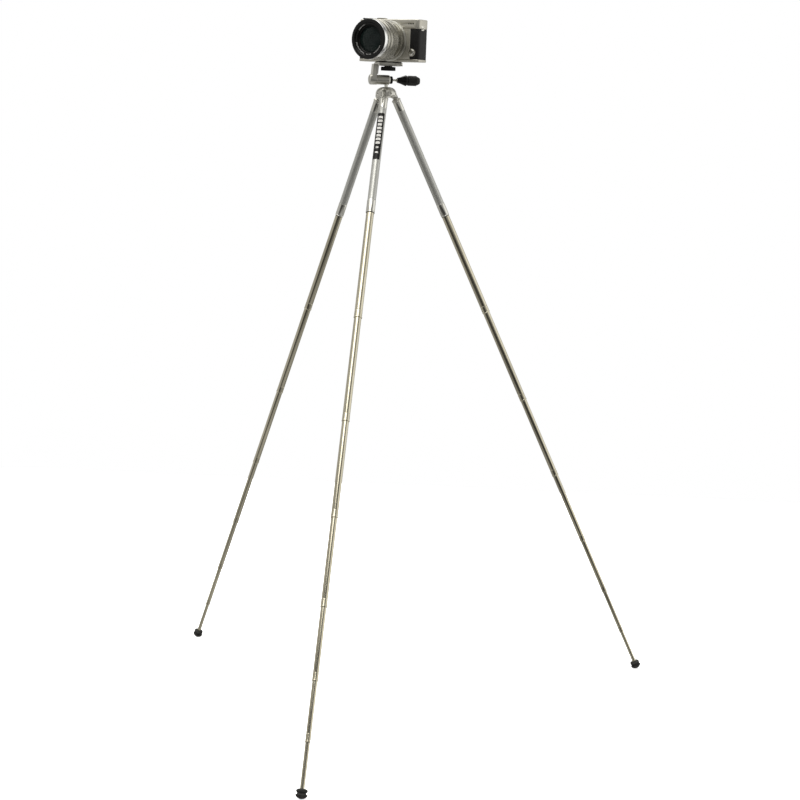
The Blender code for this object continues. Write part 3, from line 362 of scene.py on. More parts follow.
def finish(name):
    """A finish is made once, from the colours in the finish settings."""
    if name in FINISHES:
        return FINISHES[name]
    colours = bpy.context.scene.tripod_finishes
    chrome = tuple(colours.chrome)
    gold = tuple(colours.gold_tube)
    silver = tuple(colours.camera_silver)
    black = tuple(colours.black)
    makers = {
        "outer_tube": lambda: brushed_tube(
            "satin_grey_tube", tuple(colours.grey_tube), 0.55, 0.3, (0.47, 0.47, 0.44)
        ),
        "inner_tube": lambda: brushed_tube("pale_gold_tube", gold, 1.0, 0.2, shade(gold, 0.6)),
        "collar": lambda: turned_metal("turned_collar", shade(chrome, 1.08), 0.2, 0.5 * MM),
        "cast": lambda: cast_chrome("satin_cast_chrome", chrome, 0.38),
        "steel": lambda: turned_metal("bright_steel", shade(chrome, 1.12), 0.16, 0.3 * MM),
        "silver": lambda: silver_paint("silver_body_paint", silver),
        "lens_silver": lambda: turned_metal("turned_lens_silver", shade(silver, 0.75), 0.27, 0.22 * MM),
        # painted highlight: the front sleeve is coloured near white for the bright band behind the
        # black rim, while the rest of the lens metal is darker
        "sleeve": lambda: turned_metal("lens_sleeve_painted_highlight", (0.95, 0.95, 0.93), 0.22, 0.22 * MM),
        "grip_body": lambda: moulded_black("grip_sleeve_plastic", shade(black, 3.2), 0.4, 900.0),
        "leather": lambda: leatherette("black_leatherette", black),
        "plastic": lambda: moulded_black("black_moulded_plastic", black, 0.46),
        "gloss_black": lambda: moulded_black("black_lens_enamel", shade(black, 0.7), 0.24, 4200.0),
        "flat_black": lambda: moulded_black("lens_interior_black", shade(black, 0.5), 0.8),
        "rubber_pad": lambda: moulded_black("ribbed_pad_rubber", shade(black, 0.9), 0.7, 1500.0),
        "grip": lambda: moulded_black("handle_grip_plastic", shade(black, 0.8), 0.3, 900.0),
        "silver_dial": lambda: turned_metal("turned_dial_silver", shade(silver, 1.05), 0.26, 0.3 * MM),
        "marking": lambda: print_white("lens_marking", (0.5, 0.5, 0.48)),
        "rubber": lambda: foot_rubber("black_foot_rubber", shade(black, 1.1)),
        # the second colour of each glass is its painted coating sheen
        "glass": lambda: coated_glass("front_glass", (0.004, 0.006, 0.006), (0.03, 0.05, 0.045), 0.5),
        "inner_glass": lambda: coated_glass(
            "inner_glass", (0.003, 0.004, 0.006), (0.05, 0.03, 0.06), 0.8
        ),
        "display": lambda: display_glass("display_glass"),
        "label": lambda: moulded_black("label_black", shade(black, 0.8), 0.38, 3800.0),
        "white": lambda: print_white("white_marking", (0.8, 0.79, 0.75)),
        "paper": lambda: studio_paper("studio_paper", tuple(colours.paper)),
    }
    FINISHES[name] = makers[name]()
    return FINISHES[name]


# ---------------------------------------------------------------- mesh tools
def new_mesh(shape):
    mesh = bpy.data.meshes.new("shape")
    shape.to_mesh(mesh)
    shape.free()
    return mesh


def arc(centre, radius, start, end, steps):
    """Points on an arc, with the angles in degrees and both ends on it."""
    angles = [math.radians(start + (end - start) * step / steps) for step in range(steps + 1)]
    return [
        (centre[0] + radius * math.cos(angle), centre[1] + radius * math.sin(angle))
        for angle in angles
    ]


def offsets(radius, height, *steps):
    """Profile points at these steps, in millimetres, from a radius and a height."""
    return [(radius + out * MM, height + up * MM) for out, up in steps]


def rounded(points, radius, steps=3, closed=False):
    """An outline or profile with its corners rounded."""
    corners = [Vector(point) for point in points]
    count = len(corners)
    result = []
    for index, corner in enumerate(corners):
        if not closed and index in (0, count - 1):
            result.append(tuple(corner))
            continue
        before = corners[index - 1] - corner
        after = corners[(index + 1) % count] - corner
        straight = before.length < 1e-9 or after.length < 1e-9
        turn = 0 if straight else math.pi - before.angle(after)
        if turn < math.radians(12):
            result.append(tuple(corner))
            continue
        reach = min(radius * math.tan(turn / 2), before.length * 0.45, after.length * 0.45)
        start = corner + before.normalized() * reach
        end = corner + after.normalized() * reach
        for step in range(steps + 1):
            part = step / steps
            point = start * (1 - part) ** 2 + corner * 2 * part * (1 - part) + end * part**2
            result.append(tuple(point))
    return result


def loft(rings, closed=False, capped=False):
    """A skin through rings of points; a ring of one point closes to a tip. UVs are in metres."""
    shape = bmesh.new()
    sheet = shape.loops.layers.uv.new("UVMap")
    made = [[shape.verts.new(point) for point in ring] for ring in rings]
    sides = max(len(ring) for ring in rings)
    widest = max(
        rings, key=lambda ring: sum((Vector(a) - Vector(b)).length for a, b in zip(ring, ring[1:]))
    )
    around = [0.0]
    for step in range(sides):
        start = Vector(widest[step])
        around.append(around[-1] + (Vector(widest[(step + 1) % sides]) - start).length)
    down = [0.0]
    for upper, lower in zip(rings, rings[1:] + rings[:1]):
        down.append(down[-1] + (Vector(upper[0]) - Vector(lower[0])).length)
    pairs = list(zip(made, made[1:]))
    if closed:
        pairs.append((made[-1], made[0]))
    for level, (upper, lower) in enumerate(pairs):
        for step in range(sides):
            after = (step + 1) % sides
            corners = [
                (upper[step % len(upper)], (around[step], down[level])),
                (lower[step % len(lower)], (around[step], down[level + 1])),
                (lower[after % len(lower)], (around[step + 1], down[level + 1])),
                (upper[after % len(upper)], (around[step + 1], down[level])),
            ]
            kept = []
            for vertex, place in corners:
                if all(vertex is not other for other, _ in kept):
                    kept.append((vertex, place))
            if len(kept) < 3:
                continue
            face = shape.faces.new([vertex for vertex, _ in kept])
            for loop, (_, place) in zip(face.loops, kept):
                loop[sheet].uv = place
    if capped:
        shape.faces.new(made[0])
        shape.faces.new(list(reversed(made[-1])))
    return new_mesh(shape)


def lathe(points, sides=64, closed=False):
    """Turn (radius, height) points that run down the outer side about Z."""
    rings = []
    for radius, height in points:
        if radius < 1e-7:
            rings.append([(0.0, 0.0, height)])
            continue
        ring = []
        for side in range(sides):
            angle = math.tau * side / sides
            ring.append((radius * math.cos(angle), radius * math.sin(angle), height))
        rings.append(ring)
    return loft(rings, closed)


def hoop(points, edge, steps, sides):
    """A closed ring of revolution whose corners are rounded."""
    return lathe(rounded(points, edge, steps, True), sides, True)


def slab(outline, levels):
    """An upright block: outline(inset) gives its plan at each (inset, height), top first."""
    rings = [[(x, y, height) for x, y in outline(inset)] for inset, height in levels]
    return loft(rings, capped=True)


def plan(width, depth, corner, middle=(0.0, 0.0), steps=8):
    """The outline rule of a rounded rectangle."""

    def outline(inset):
        reach = max(corner - inset, 0.05 * MM)
        x = width / 2 - inset - reach
        y = depth / 2 - inset - reach
        points = []
        for quarter, centre in enumerate(((x, y), (-x, y), (-x, -y), (x, -y))):
            moved = (centre[0] + middle[0], centre[1] + middle[1])
            points += arc(moved, reach, 90 * quarter, 90 * quarter + 90, steps)
        return points

    return outline


def softened(bottom, top, edge, steps=3):
    """Levels for a slab with rounded upper and lower edges."""
    upper = [
        (
            edge * (1 - math.sin(math.pi / 2 * step / steps)),
            top - edge * (1 - math.cos(math.pi / 2 * step / steps)),
        )
        for step in range(steps + 1)
    ]
    lower = [(inset, bottom + (top - height)) for inset, height in reversed(upper)]
    return upper + lower


def prism(outline, low, high):
    """A flat outline in XY between two heights."""
    rings = [[(x, y, height) for x, y in outline] for height in (high, low)]
    return loft(rings, capped=True)


def joined(meshes):
    """Several meshes as one; they may interpenetrate."""
    shape = bmesh.new()
    for mesh in meshes:
        shape.from_mesh(mesh)
        bpy.data.meshes.remove(mesh)
    return new_mesh(shape)


def disc(radius, low, high, place=None, sides=48):
    """A plain solid of revolution, used for cutting."""
    mesh = lathe([(0, high), (radius, high), (radius, low), (0, low)], sides)
    mesh.transform(place or Matrix.Identity(4))
    return mesh


def block(low, high, corner=0.2 * MM):
    """An upright block between two corners, with rounded upright edges."""
    centre = ((low[0] + high[0]) / 2, (low[1] + high[1]) / 2)
    outline = plan(high[0] - low[0], high[1] - low[1], corner, centre, 3)
    return slab(outline, [(0, high[2]), (0, low[2])])


def soft_block(low, high, corner, edge):
    centre = ((low[0] + high[0]) / 2, (low[1] + high[1]) / 2)
    outline = plan(high[0] - low[0], high[1] - low[1], corner, centre, 6)
    return slab(outline, softened(low[2], high[2], edge, 4))


def at(x, y, z):
    return Matrix.Translation((x, y, z))


def centre_of(node, place):
    low, high = extent(node, place)
    return (low + high) / 2, low, high


def carved(mesh, cuts, edge=0.0, segments=2, added=()):
    """Join other meshes to a mesh, cut others away, then round the edges."""
    holder = bpy.data.objects.new("carving", mesh)
    tools = [holder]
    bpy.context.scene.collection.objects.link(holder)
    steps = [("UNION", other) for other in added] + [("DIFFERENCE", other) for other in cuts]
    for operation, tool in steps:
        cutter = bpy.data.objects.new("cutter", tool)
        bpy.context.scene.collection.objects.link(cutter)
        tools.append(cutter)
        modifier = holder.modifiers.new("Cut", "BOOLEAN")
        modifier.operation = operation
        modifier.solver = "EXACT"
        modifier.object = cutter
    if edge:
        weld = holder.modifiers.new("Weld", "WELD")
        weld.merge_threshold = 0.00001
        bevel = holder.modifiers.new("Edge", "BEVEL")
        bevel.width = edge
        bevel.segments = segments
        bevel.limit_method = "ANGLE"
        bevel.angle_limit = math.radians(35)
    depsgraph = bpy.context.evaluated_depsgraph_get()
    result = bpy.data.meshes.new_from_object(holder.evaluated_get(depsgraph))
    for tool in tools:
        data = tool.data
        bpy.data.objects.remove(tool)
        bpy.data.meshes.remove(data)
    return result


def add_piece(name, mesh, look, body, place, replaced=(), angle=32):
    """Put a mesh in its place, give it its finish, and let it ride on its body."""
    mesh.transform(place)
    mesh.materials.clear()
    mesh.materials.append(finish(look))
    mesh.shade_smooth()
    mesh.set_sharp_from_angle(angle=math.radians(angle))
    mesh.name = name
    piece = bpy.data.objects.new(name, mesh)
    bpy.context.scene.collection.objects.link(piece)
    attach(piece, body)
    if replaced:
        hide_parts(*replaced)
    return piece


# ---------------------------------------------------------------- repeating shapes
class Grower:
    """A Geometry Nodes tree with named inputs; it ends in Realize Instances and Set Material."""

    def __init__(self, name, inputs):
        self.tree = bpy.data.node_groups.new(name, "GeometryNodeTree")
        for label, kind in inputs.items():
            self.tree.interface.new_socket(label, in_out="INPUT", socket_type="NodeSocket" + kind)
        self.tree.interface.new_socket("Finish", in_out="INPUT", socket_type="NodeSocketMaterial")
        self.tree.interface.new_socket("Mesh", in_out="OUTPUT", socket_type="NodeSocketGeometry")
        self.given = self.tree.nodes.new("NodeGroupInput").outputs
        self.result = self.tree.nodes.new("NodeGroupOutput")

    def node(self, kind, settings=None, inputs=None):
        made = self.tree.nodes.new(kind)
        for name, value in (settings or {}).items():
            setattr(made, name, value)
        for name, value in (inputs or {}).items():
            if isinstance(value, bpy.types.NodeSocket):
                self.tree.links.new(value, made.inputs[name])
            else:
                made.inputs[name].default_value = value
        return made.outputs

    def maths(self, operation, first, second=0.0):
        settings = {"operation": operation}
        return self.node("ShaderNodeMath", settings, {0: first, 1: second})[0]

    def vector(self, x=0.0, y=0.0, z=0.0):
        return self.node("ShaderNodeCombineXYZ", {}, {"X": x, "Y": y, "Z": z})[0]

    def end(self, geometry):
        real = self.node("GeometryNodeRealizeInstances", {}, {"Geometry": geometry})[0]
        inputs = {"Geometry": real, "Material": self.given["Finish"]}
        coated = self.node("GeometryNodeSetMaterial", {}, inputs)[0]
        self.tree.links.new(coated, self.result.inputs[0])

    def mesh(self, name, look, values):
        """The tree's result with these input values, as a plain mesh."""
        holder = bpy.data.objects.new(name, bpy.data.meshes.new(name))
        bpy.context.scene.collection.objects.link(holder)
        modifier = holder.modifiers.new("Grow", "NODES")
        modifier.node_group = self.tree
        chosen = {**values, "Finish": finish(look)}
        for item in self.tree.interface.items_tree:
            if item.in_out == "INPUT":
                modifier[item.identifier] = chosen[item.name]
        depsgraph = bpy.context.evaluated_depsgraph_get()
        mesh = bpy.data.meshes.new_from_object(holder.evaluated_get(depsgraph))
        holder.modifiers.remove(modifier)
        spare = holder.data
        bpy.data.objects.remove(holder)
        bpy.data.meshes.remove(spare)
        return mesh


def ring_grower():
    """Equal ribs round a ring: each is a rounded bar that stands out of the surface."""
    grower = Grower(
        "Rib ring",
        {
            "Count": "Int",
            "Sweep": "Float",
            "Start": "Float",
            "Radius": "Float",
            "Width": "Float",
            "Height": "Float",
            "Length": "Float",
            "Middle": "Float",
        },
    )
    given = grower.given
    points = grower.node("GeometryNodePoints", {}, {"Count": given["Count"]})[0]
    index = grower.node("GeometryNodeInputIndex")[0]
    step = grower.maths("DIVIDE", given["Sweep"], given["Count"])
    angle = grower.maths("ADD", grower.maths("MULTIPLY", index, step), given["Start"])
    x = grower.maths("MULTIPLY", grower.maths("COSINE", angle), given["Radius"])
    y = grower.maths("MULTIPLY", grower.maths("SINE", angle), given["Radius"])
    place = grower.vector(x, y, given["Middle"])
    placed = grower.node("GeometryNodeSetPosition", {}, {"Geometry": points, "Position": place})[0]
    half = grower.maths("MULTIPLY", given["Width"], 0.5)
    bar = grower.node(
        "GeometryNodeMeshCylinder",
        {"fill_type": "NGON"},
        {"Vertices": 10, "Radius": half, "Depth": given["Length"]},
    )[0]
    squeeze = grower.vector(grower.maths("DIVIDE", given["Height"], half), 1.0, 1.0)
    inputs = {"Geometry": bar, "Scale": squeeze}
    flat = grower.node("GeometryNodeTransform", {}, inputs)[0]
    turn = grower.vector(0.0, 0.0, angle)
    inputs = {"Points": placed, "Instance": flat, "Rotation": turn}
    grower.end(grower.node("GeometryNodeInstanceOnPoints", {}, inputs)[0])
    return grower


def row_grower():
    """Plates in a row along Z, bent round a tube; a row of none-too-equal lengths."""
    grower = Grower(
        "Plate row",
        {
            "Count": "Int",
            "Spacing": "Float",
            "Width": "Float",
            "Length": "Float",
            "Thickness": "Float",
            "Radius": "Float",
            "Angle": "Float",
            "Top": "Float",
            "Variation": "Float",
        },
    )
    given = grower.given
    points = grower.node("GeometryNodePoints", {}, {"Count": given["Count"]})[0]
    index = grower.node("GeometryNodeInputIndex")[0]
    drop = grower.maths("MULTIPLY", index, given["Spacing"])
    place = grower.vector(0.0, 0.0, grower.maths("SUBTRACT", given["Top"], drop))
    placed = grower.node("GeometryNodeSetPosition", {}, {"Geometry": points, "Position": place})[0]
    size = grower.vector(given["Thickness"], given["Width"], given["Length"])
    inputs = {"Size": size, "Vertices X": 2, "Vertices Y": 9, "Vertices Z": 2}
    plate = grower.node("GeometryNodeMeshCube", {}, inputs)[0]
    beat = grower.maths("SINE", grower.maths("MULTIPLY", index, 2.4))
    sway = grower.maths("MULTIPLY", beat, given["Variation"])
    scale = grower.vector(1.0, grower.maths("ADD", sway, 1.0), 1.0)
    inputs = {"Points": placed, "Instance": plate, "Scale": scale}
    row = grower.node("GeometryNodeInstanceOnPoints", {}, inputs)[0]
    real = grower.node("GeometryNodeRealizeInstances", {}, {"Geometry": row})[0]
    position = grower.node("GeometryNodeInputPosition")[0]
    split = grower.node("ShaderNodeSeparateXYZ", {}, {"Vector": position})
    reach = grower.maths("ADD", split[0], given["Radius"])
    angle = grower.maths("ADD", grower.maths("DIVIDE", split[1], given["Radius"]), given["Angle"])
    x = grower.maths("MULTIPLY", grower.maths("COSINE", angle), reach)
    y = grower.maths("MULTIPLY", grower.maths("SINE", angle), reach)
    bent = grower.vector(x, y, split[2])
    grower.end(grower.node("GeometryNodeSetPosition", {}, {"Geometry": real, "Position": bent})[0])
    return grower


def thread_grower():
    """A screw thread: a small three-sided ridge swept along a helix about Z."""
    grower = Grower(
        "Screw thread",
        {"Turns": "Float", "Radius": "Float", "Length": "Float", "Ridge": "Float", "Bottom": "Float"},
    )
    given = grower.given
    inputs = {
        "Resolution": 40,
        "Rotations": given["Turns"],
        "Start Radius": given["Radius"],
        "End Radius": given["Radius"],
        "Height": given["Length"],
    }
    helix = grower.node("GeometryNodeCurveSpiral", {}, inputs)[0]
    lift = grower.vector(0.0, 0.0, given["Bottom"])
    raised = grower.node("GeometryNodeTransform", {}, {"Geometry": helix, "Translation": lift})[0]
    inputs = {"Resolution": 4, "Radius": given["Ridge"]}
    ridge = grower.node("GeometryNodeCurvePrimitiveCircle", {}, inputs)[0]
    inputs = {"Curve": raised, "Profile Curve": ridge, "Fill Caps": True}
    grower.end(grower.node("GeometryNodeCurveToMesh", {}, inputs)[0])
    return grower


GROWERS = {}


def grower(kind):
    if kind not in GROWERS:
        makers = {"ribs": ring_grower, "plates": row_grower, "thread": thread_grower}
        GROWERS[kind] = makers[kind]()
    return GROWERS[kind]


def ribs(look, count, radius, width, height, span, sweep=math.tau, start=0.0):
    """Ribs round Z between two heights, standing height out of the radius."""
    low, high = span
    values = {
        "Count": count,
        "Sweep": sweep,
        "Start": start,
        "Radius": radius,
        "Width": width,
        "Height": height,
        "Length": high - low,
        "Middle": (low + high) / 2,
    }
    return grower("ribs").mesh("ribs", look, values)


def mark(look, radius, width, height, span, angle):
    """One short rib, at an angle."""
    return ribs(look, 1, radius, width, height, span, start=angle)


def plates(look, count, spacing, size, radius, angle, top, variation=0.0):
    """Thin plates (thickness, width, length) down a tube."""
    thickness, width, length = size
    values = {
        "Count": count,
        "Spacing": spacing,
        "Width": width,
        "Length": length,
        "Thickness": thickness,
        "Radius": radius,
        "Angle": angle,
        "Top": top,
        "Variation": variation,
    }
    return grower("plates").mesh("plates", look, values)


def thread(look, radius, ridge, pitch, span):
    low, high = span
    values = {
        "Turns": (high - low) / pitch,
        "Radius": radius,
        "Length": high - low,
        "Ridge": ridge,
        "Bottom": low,
    }
    return grower("thread").mesh("thread", look, values)


# ---------------------------------------------------------------- settings
def size_setting(name, default, description):
    return FloatProperty(name=name, default=default, min=0.0, unit="LENGTH", description=description)


def colour_setting(name, default, description):
    return FloatVectorProperty(
        name=name,
        default=default,
        size=3,
        min=0.0,
        max=1.0,
        subtype="COLOR",
        description=description,
    )


def count_setting(name, default, description):
    return IntProperty(name=name, default=default, min=3, description=description)


class TripodSizes(bpy.types.PropertyGroup):
    upper_collar: size_setting("Upper collar", 18 * MM, "Length of the collar under each hinge")
    lower_collar: size_setting(
        "Lower collar", 23 * MM, "Length of the collar at each outer tube's foot"
    )
    label_length: size_setting("Label length", 85 * MM, "Length of the label on the front leg")
    label_width: size_setting("Label width", 13.4 * MM, "Width of the label, round the tube")
    knob_ribs: count_setting("Knob ribs", 40, "Ribs round the camera screw's knob")
    grip_flutes: count_setting("Grip ribs", 26, "Ribs along the handle's grip")
    thread_pitch: size_setting("Thread pitch", 1.05 * MM, "Rise of the screw threads in one turn")


class CameraSizes(bpy.types.PropertyGroup):
    zoom_ribs: count_setting("Zoom ribs", 120, "Ribs round the zoom ring")
    dial_ribs: count_setting("Dial ribs", 48, "Ribs round the mode dial")
    filter_pitch: size_setting(
        "Filter thread pitch", 0.75 * MM, "Rise of the filter thread in one turn"
    )
    front_band: size_setting("Front band", 42.6 * MM, "Bare metal to this side of the body's middle")


class TripodFinishes(bpy.types.PropertyGroup):
    chrome: colour_setting("Chrome", (0.66, 0.65, 0.6), "Satin plating of the castings")
    grey_tube: colour_setting("Outer tubes", (0.52, 0.52, 0.49), "Grey anodised outer tubes")
    gold_tube: colour_setting("Inner tubes", (0.74, 0.69, 0.54), "Pale brass inner tubes")
    camera_silver: colour_setting("Camera silver", (0.56, 0.54, 0.47), "Metallic paint of the camera")
    black: colour_setting("Black", (0.009, 0.009, 0.0085), "Plastic, rubber and covering")
    paper: colour_setting("Paper", (0.93, 0.93, 0.93), "Studio floor")


# ---------------------------------------------------------------- legs
def tube_wall(outer, inner, low, high, edge=0.15 * MM):
    """A closed tube profile with eased rims."""
    middle = (outer + inner) / 2
    edge = min(edge, (outer - inner) * 0.45)
    return [
        (middle, high), *rounded([(outer - edge, high), (outer, high), (outer, high - 2 * edge)], edge),
        *rounded([(outer, low + 2 * edge), (outer, low), (outer - edge, low)], edge), (middle, low),
        (inner, low + edge), (inner, high - edge),
    ]


TUBE_RECESS = 0.18 * MM  # the grey tube under its collars


def make_outer_tube(leg, sizes):
    place = leg_placing(leg)
    low, high = extent(leg + "_outer_tube", place)
    radius = high.x
    bore = radius - 0.5 * MM
    tube = radius - TUBE_RECESS
    body = leg + "_1"
    top_collar = high.z - sizes.upper_collar
    foot_collar = low.z + sizes.lower_collar
    mesh = lathe(tube_wall(tube, bore, foot_collar - 2 * MM, top_collar + 2 * MM), 64, True)
    add_piece(leg + "_outer_tube_skin", mesh, "outer_tube", body, place, (leg + "_outer_tube",))
    upper = [
        (bore + 0.1 * MM, high.z),
        *offsets(
            radius, high.z, (-0.1, 0), (0.12, -0.4), (0.12, -1.6), (-0.12, -1.9), (-0.12, -2.4),
            (0, -2.7),
        ),
        (radius, top_collar + 0.7 * MM), (tube + 0.05 * MM, top_collar), (bore + 0.1 * MM, top_collar),
    ]
    add_piece(leg + "_upper_collar", hoop(upper, 0.2 * MM, 2, 64), "collar", body, place)
    lower = [
        (bore + 0.1 * MM, foot_collar), (tube + 0.05 * MM, foot_collar),
        (radius + 0.1 * MM, foot_collar - 0.8 * MM),
        *offsets(
            radius, low.z, (0.15, 3.4), (-0.15, 3.1), (-0.15, 2.5), (0.2, 2.2), (0.2, 1.4), (-0.1, 1.0)
        ),
        *offsets(bore, low.z, (-0.1, 1.0), (-0.1, 3)),
    ]
    add_piece(leg + "_lower_collar", hoop(lower, 0.2 * MM, 2, 64), "collar", body, place)
    seal = tube_wall(radius - 0.4 * MM, bore - 0.1 * MM, low.z + 0.15 * MM, low.z + 1.1 * MM, 0.1 * MM)
    add_piece(leg + "_collar_seal", lathe(seal, 48, True), "plastic", body, place)


def make_label(sizes):
    """A black plate on the front leg with plain white bars in place of any wording."""
    leg = "front_leg"
    place = leg_placing(leg)
    high = extent(leg + "_outer_tube", place)[1]
    tube = high.x - TUBE_RECESS
    top = high.z - sizes.upper_collar
    angle = math.radians(4)
    start = top - 11 * MM
    margin = 8 * MM
    plate = plates(
        "label", 1, 0.0, (0.16 * MM, sizes.label_width, sizes.label_length), tube + 0.04 * MM, angle,
        start - sizes.label_length / 2,
    )
    add_piece("label_plate", plate, "label", leg + "_1", place)
    skin = tube + 0.14 * MM
    count = 8
    bar = 4.2 * MM
    spacing = 6.7 * MM
    bars = plates("white", count, spacing, (0.1 * MM, 7.6 * MM, bar), skin, angle, start - margin, 0.05)
    low = start - margin - count * spacing - 2 * MM
    small = plates("white", 2, 9 * MM, (0.1 * MM, 4.4 * MM, 2.8 * MM), skin, angle, low, 0.2)
    add_piece("label_bars", joined([bars, small]), "white", leg + "_1", place)


def make_section(leg, number):
    """A drawn tube with a rolled bead at its lower end, staked all round above it."""
    place = leg_placing(leg)
    name = f"{leg}_section_{number}"
    low, high = extent(name, place)
    widest = high.x
    last = number == 8
    radius = widest if last else widest - 0.35 * MM
    bore = radius - 0.3 * MM
    if last:
        profile = tube_wall(radius, bore, low.z, high.z)
        mesh = lathe(profile, 48, True)
    else:
        bead = 2.4 * MM
        groove = low.z + 13 * MM
        profile = [
            *offsets(radius, high.z, (-0.15, 0), (0, -0.3)),
            *offsets(radius, groove, (0, 0.5), (-0.22, 0), (-0.22, -0.3), (0, -0.8)),
            (radius, low.z + bead - 0.15 * MM), (widest, low.z + bead - 0.6 * MM),
            *offsets(widest, low.z, (0, 0.5), (-0.3, 0)), *offsets(bore, low.z, (0.05, 0), (0, 0.3)),
            (bore, high.z - 0.2 * MM),
        ]
        tube = hoop(profile, 0.25 * MM, 3, 56)
        span = (low.z + 3.6 * MM, groove - 1.6 * MM)
        stakes = ribs("inner_tube", 6, radius - 0.05 * MM, 1.2 * MM, 0.14 * MM, span, start=0.9)
        mesh = joined([tube, stakes])
    add_piece(name + "_skin", mesh, "inner_tube", f"{leg}_{number}", place, (name,))


def make_foot(leg):
    """A rubber foot: a ringed collar, a waist and a domed tread that is flat on the floor."""
    place = leg_placing(leg)
    name = leg + "_foot"
    high = extent(name, place)[1]
    top = high.z
    wide = high.y
    drop = 9 * MM
    depth = 14 * MM - drop
    cap_radius = (wide**2 + depth**2) / (2 * depth)
    tread = [
        (cap_radius * math.sin(angle), top - 14 * MM + cap_radius * (1 - math.cos(angle)))
        for angle in (math.asin(wide / cap_radius) * step / 14 for step in range(13, -1, -1))
    ]
    profile = [
        *offsets(
            0, top, (3.3, -3), (3.4, 0), (5.6, 0), (8.3, -1.7), (8.4, -2.2), (8.05, -2.7), (8.4, -3.2),
            (8.35, -4.2), (6.7, -5.3), (6.4, -6.6), (7.2, -7.6),
        ),
        (wide - 0.25 * MM, top - 8.3 * MM), (wide, top - drop),
    ]
    mesh = lathe(rounded(profile, 0.6 * MM, 4) + tread, 64)
    mesh.transform(place)
    for vertex in mesh.vertices:
        vertex.co.z = max(vertex.co.z, 0.0)
    add_piece(name + "_rubber", mesh, "rubber", f"{leg}_8", Matrix.Identity(4), (name,), 50)


def make_knuckle(leg):
    """The hinge tongue on its domed shoulder, with the plug that closes the tube."""
    place = leg_placing(leg)
    name = leg + "_knuckle"
    wide, top, edge, plug = 7.65 * MM, -7.5 * MM, -11 * MM, -20 * MM
    tongue_radius = extent(name, place)[1].z
    profile = [
        (0, top), *arc((wide - 3 * MM, top - 3 * MM), 3 * MM, 90, 4, 8),
        *offsets(wide, edge, (0, 0.3), (-0.4, 0)), (6.2 * MM, edge), (6.2 * MM, plug), (0, plug),
    ]
    shoulder = lathe(profile, 56)
    outline = [
        (-tongue_radius, top - 2 * MM), (tongue_radius, top - 2 * MM),
        *arc((0, 0), tongue_radius, 0, 180, 28),
    ]
    tongue = prism(outline, -2.5 * MM, 2.5 * MM)
    tongue.transform(TOWARDS_FRONT)
    hole = disc(1.7 * MM, -8 * MM, 8 * MM, TOWARDS_FRONT, 32)
    mesh = carved(shoulder, [hole], 0.3 * MM, 3, [tongue])
    add_piece(name + "_casting", mesh, "cast", leg + "_1", place, (name,), 40)


# ---------------------------------------------------------------- crown and head
def make_crown():
    """A domed casting with a dish on top, three hinge slots and an arch between each two."""
    place = Matrix.Translation(Vector((UPRIGHT.translation.x, UPRIGHT.translation.y, LEG_HEIGHT)))
    low, high = extent("crown", place)
    wide = 17.5 * MM
    dish, dish_depth, socket = 7.4 * MM, 2.2 * MM, 3.1 * MM
    shoulder = -0.5 * MM
    arch_radius = 8 * MM
    dome = [
        (dish + (wide - dish) * math.sin(angle), high.z - (high.z - shoulder) * (1 - math.cos(angle)))
        for angle in (math.pi / 2 * step / 20 for step in range(21))
    ]
    profile = [
        (0, high.z - dish_depth - 8.5 * MM),
        *offsets(socket, high.z - dish_depth, (0, -8.5), (0, -0.2)),
        (socket + 0.4 * MM, high.z - dish_depth), (dish - 1.4 * MM, high.z - dish_depth + 0.5 * MM),
        (dish - 0.5 * MM, high.z - 0.5 * MM), *dome, *offsets(wide, low.z, (0, 0.8), (-0.9, 0)),
        (0, low.z),
    ]
    shell = lathe(profile, 96)
    cuts = []
    for leg in LEGS:
        hinge = leg_placing(leg)
        pin = (hinge.to_3x3() @ Vector((0, 1, 0))).normalized()
        out = pin.cross(Vector((0, 0, 1)))
        turn = Matrix.Rotation(math.atan2(out.y, out.x), 4, "Z")
        slot = slab(
            plan(18.5 * MM, 5.6 * MM, 0.3 * MM, (17.95 * MM, 0), 2), [(0, 4.8 * MM), (0, -10 * MM)]
        )
        slot.transform(turn)
        across = turn @ at(13.5 * MM, 0, 0) @ TOWARDS_FRONT
        hole = disc(1.55 * MM, -30 * MM, 30 * MM, across, 32)
        lift = at(wide, 0, low.z + 3 * MM - arch_radius)
        between = turn @ Matrix.Rotation(math.radians(60), 4, "Z") @ lift @ ALONG_X
        arch = disc(arch_radius, -9 * MM, 9 * MM, between, 64)
        cuts += [slot, arch, hole]
    mesh = carved(shell, cuts, 0.35 * MM, 3)
    add_piece("crown_casting", mesh, "cast", "crown", place, ("crown",), 40)


def make_pins(leg):
    """A hinge pin with two riveted heads."""
    place = leg_placing(leg)
    reach = 9.6 * MM
    profile = [
        (0, reach + 0.35 * MM), *arc((0.7 * MM, reach - 0.6 * MM), 0.95 * MM, 80, 0, 5),
        *offsets(0, reach, (1.65, -1.1), (1.45, -1.3)),
    ]
    mirrored = [(radius, -height) for radius, height in reversed(profile)]
    mesh = lathe(profile + mirrored, 32)
    add_piece(leg + "_rivet", mesh, "steel", "crown", place @ TOWARDS_FRONT, (leg + "_pin",))


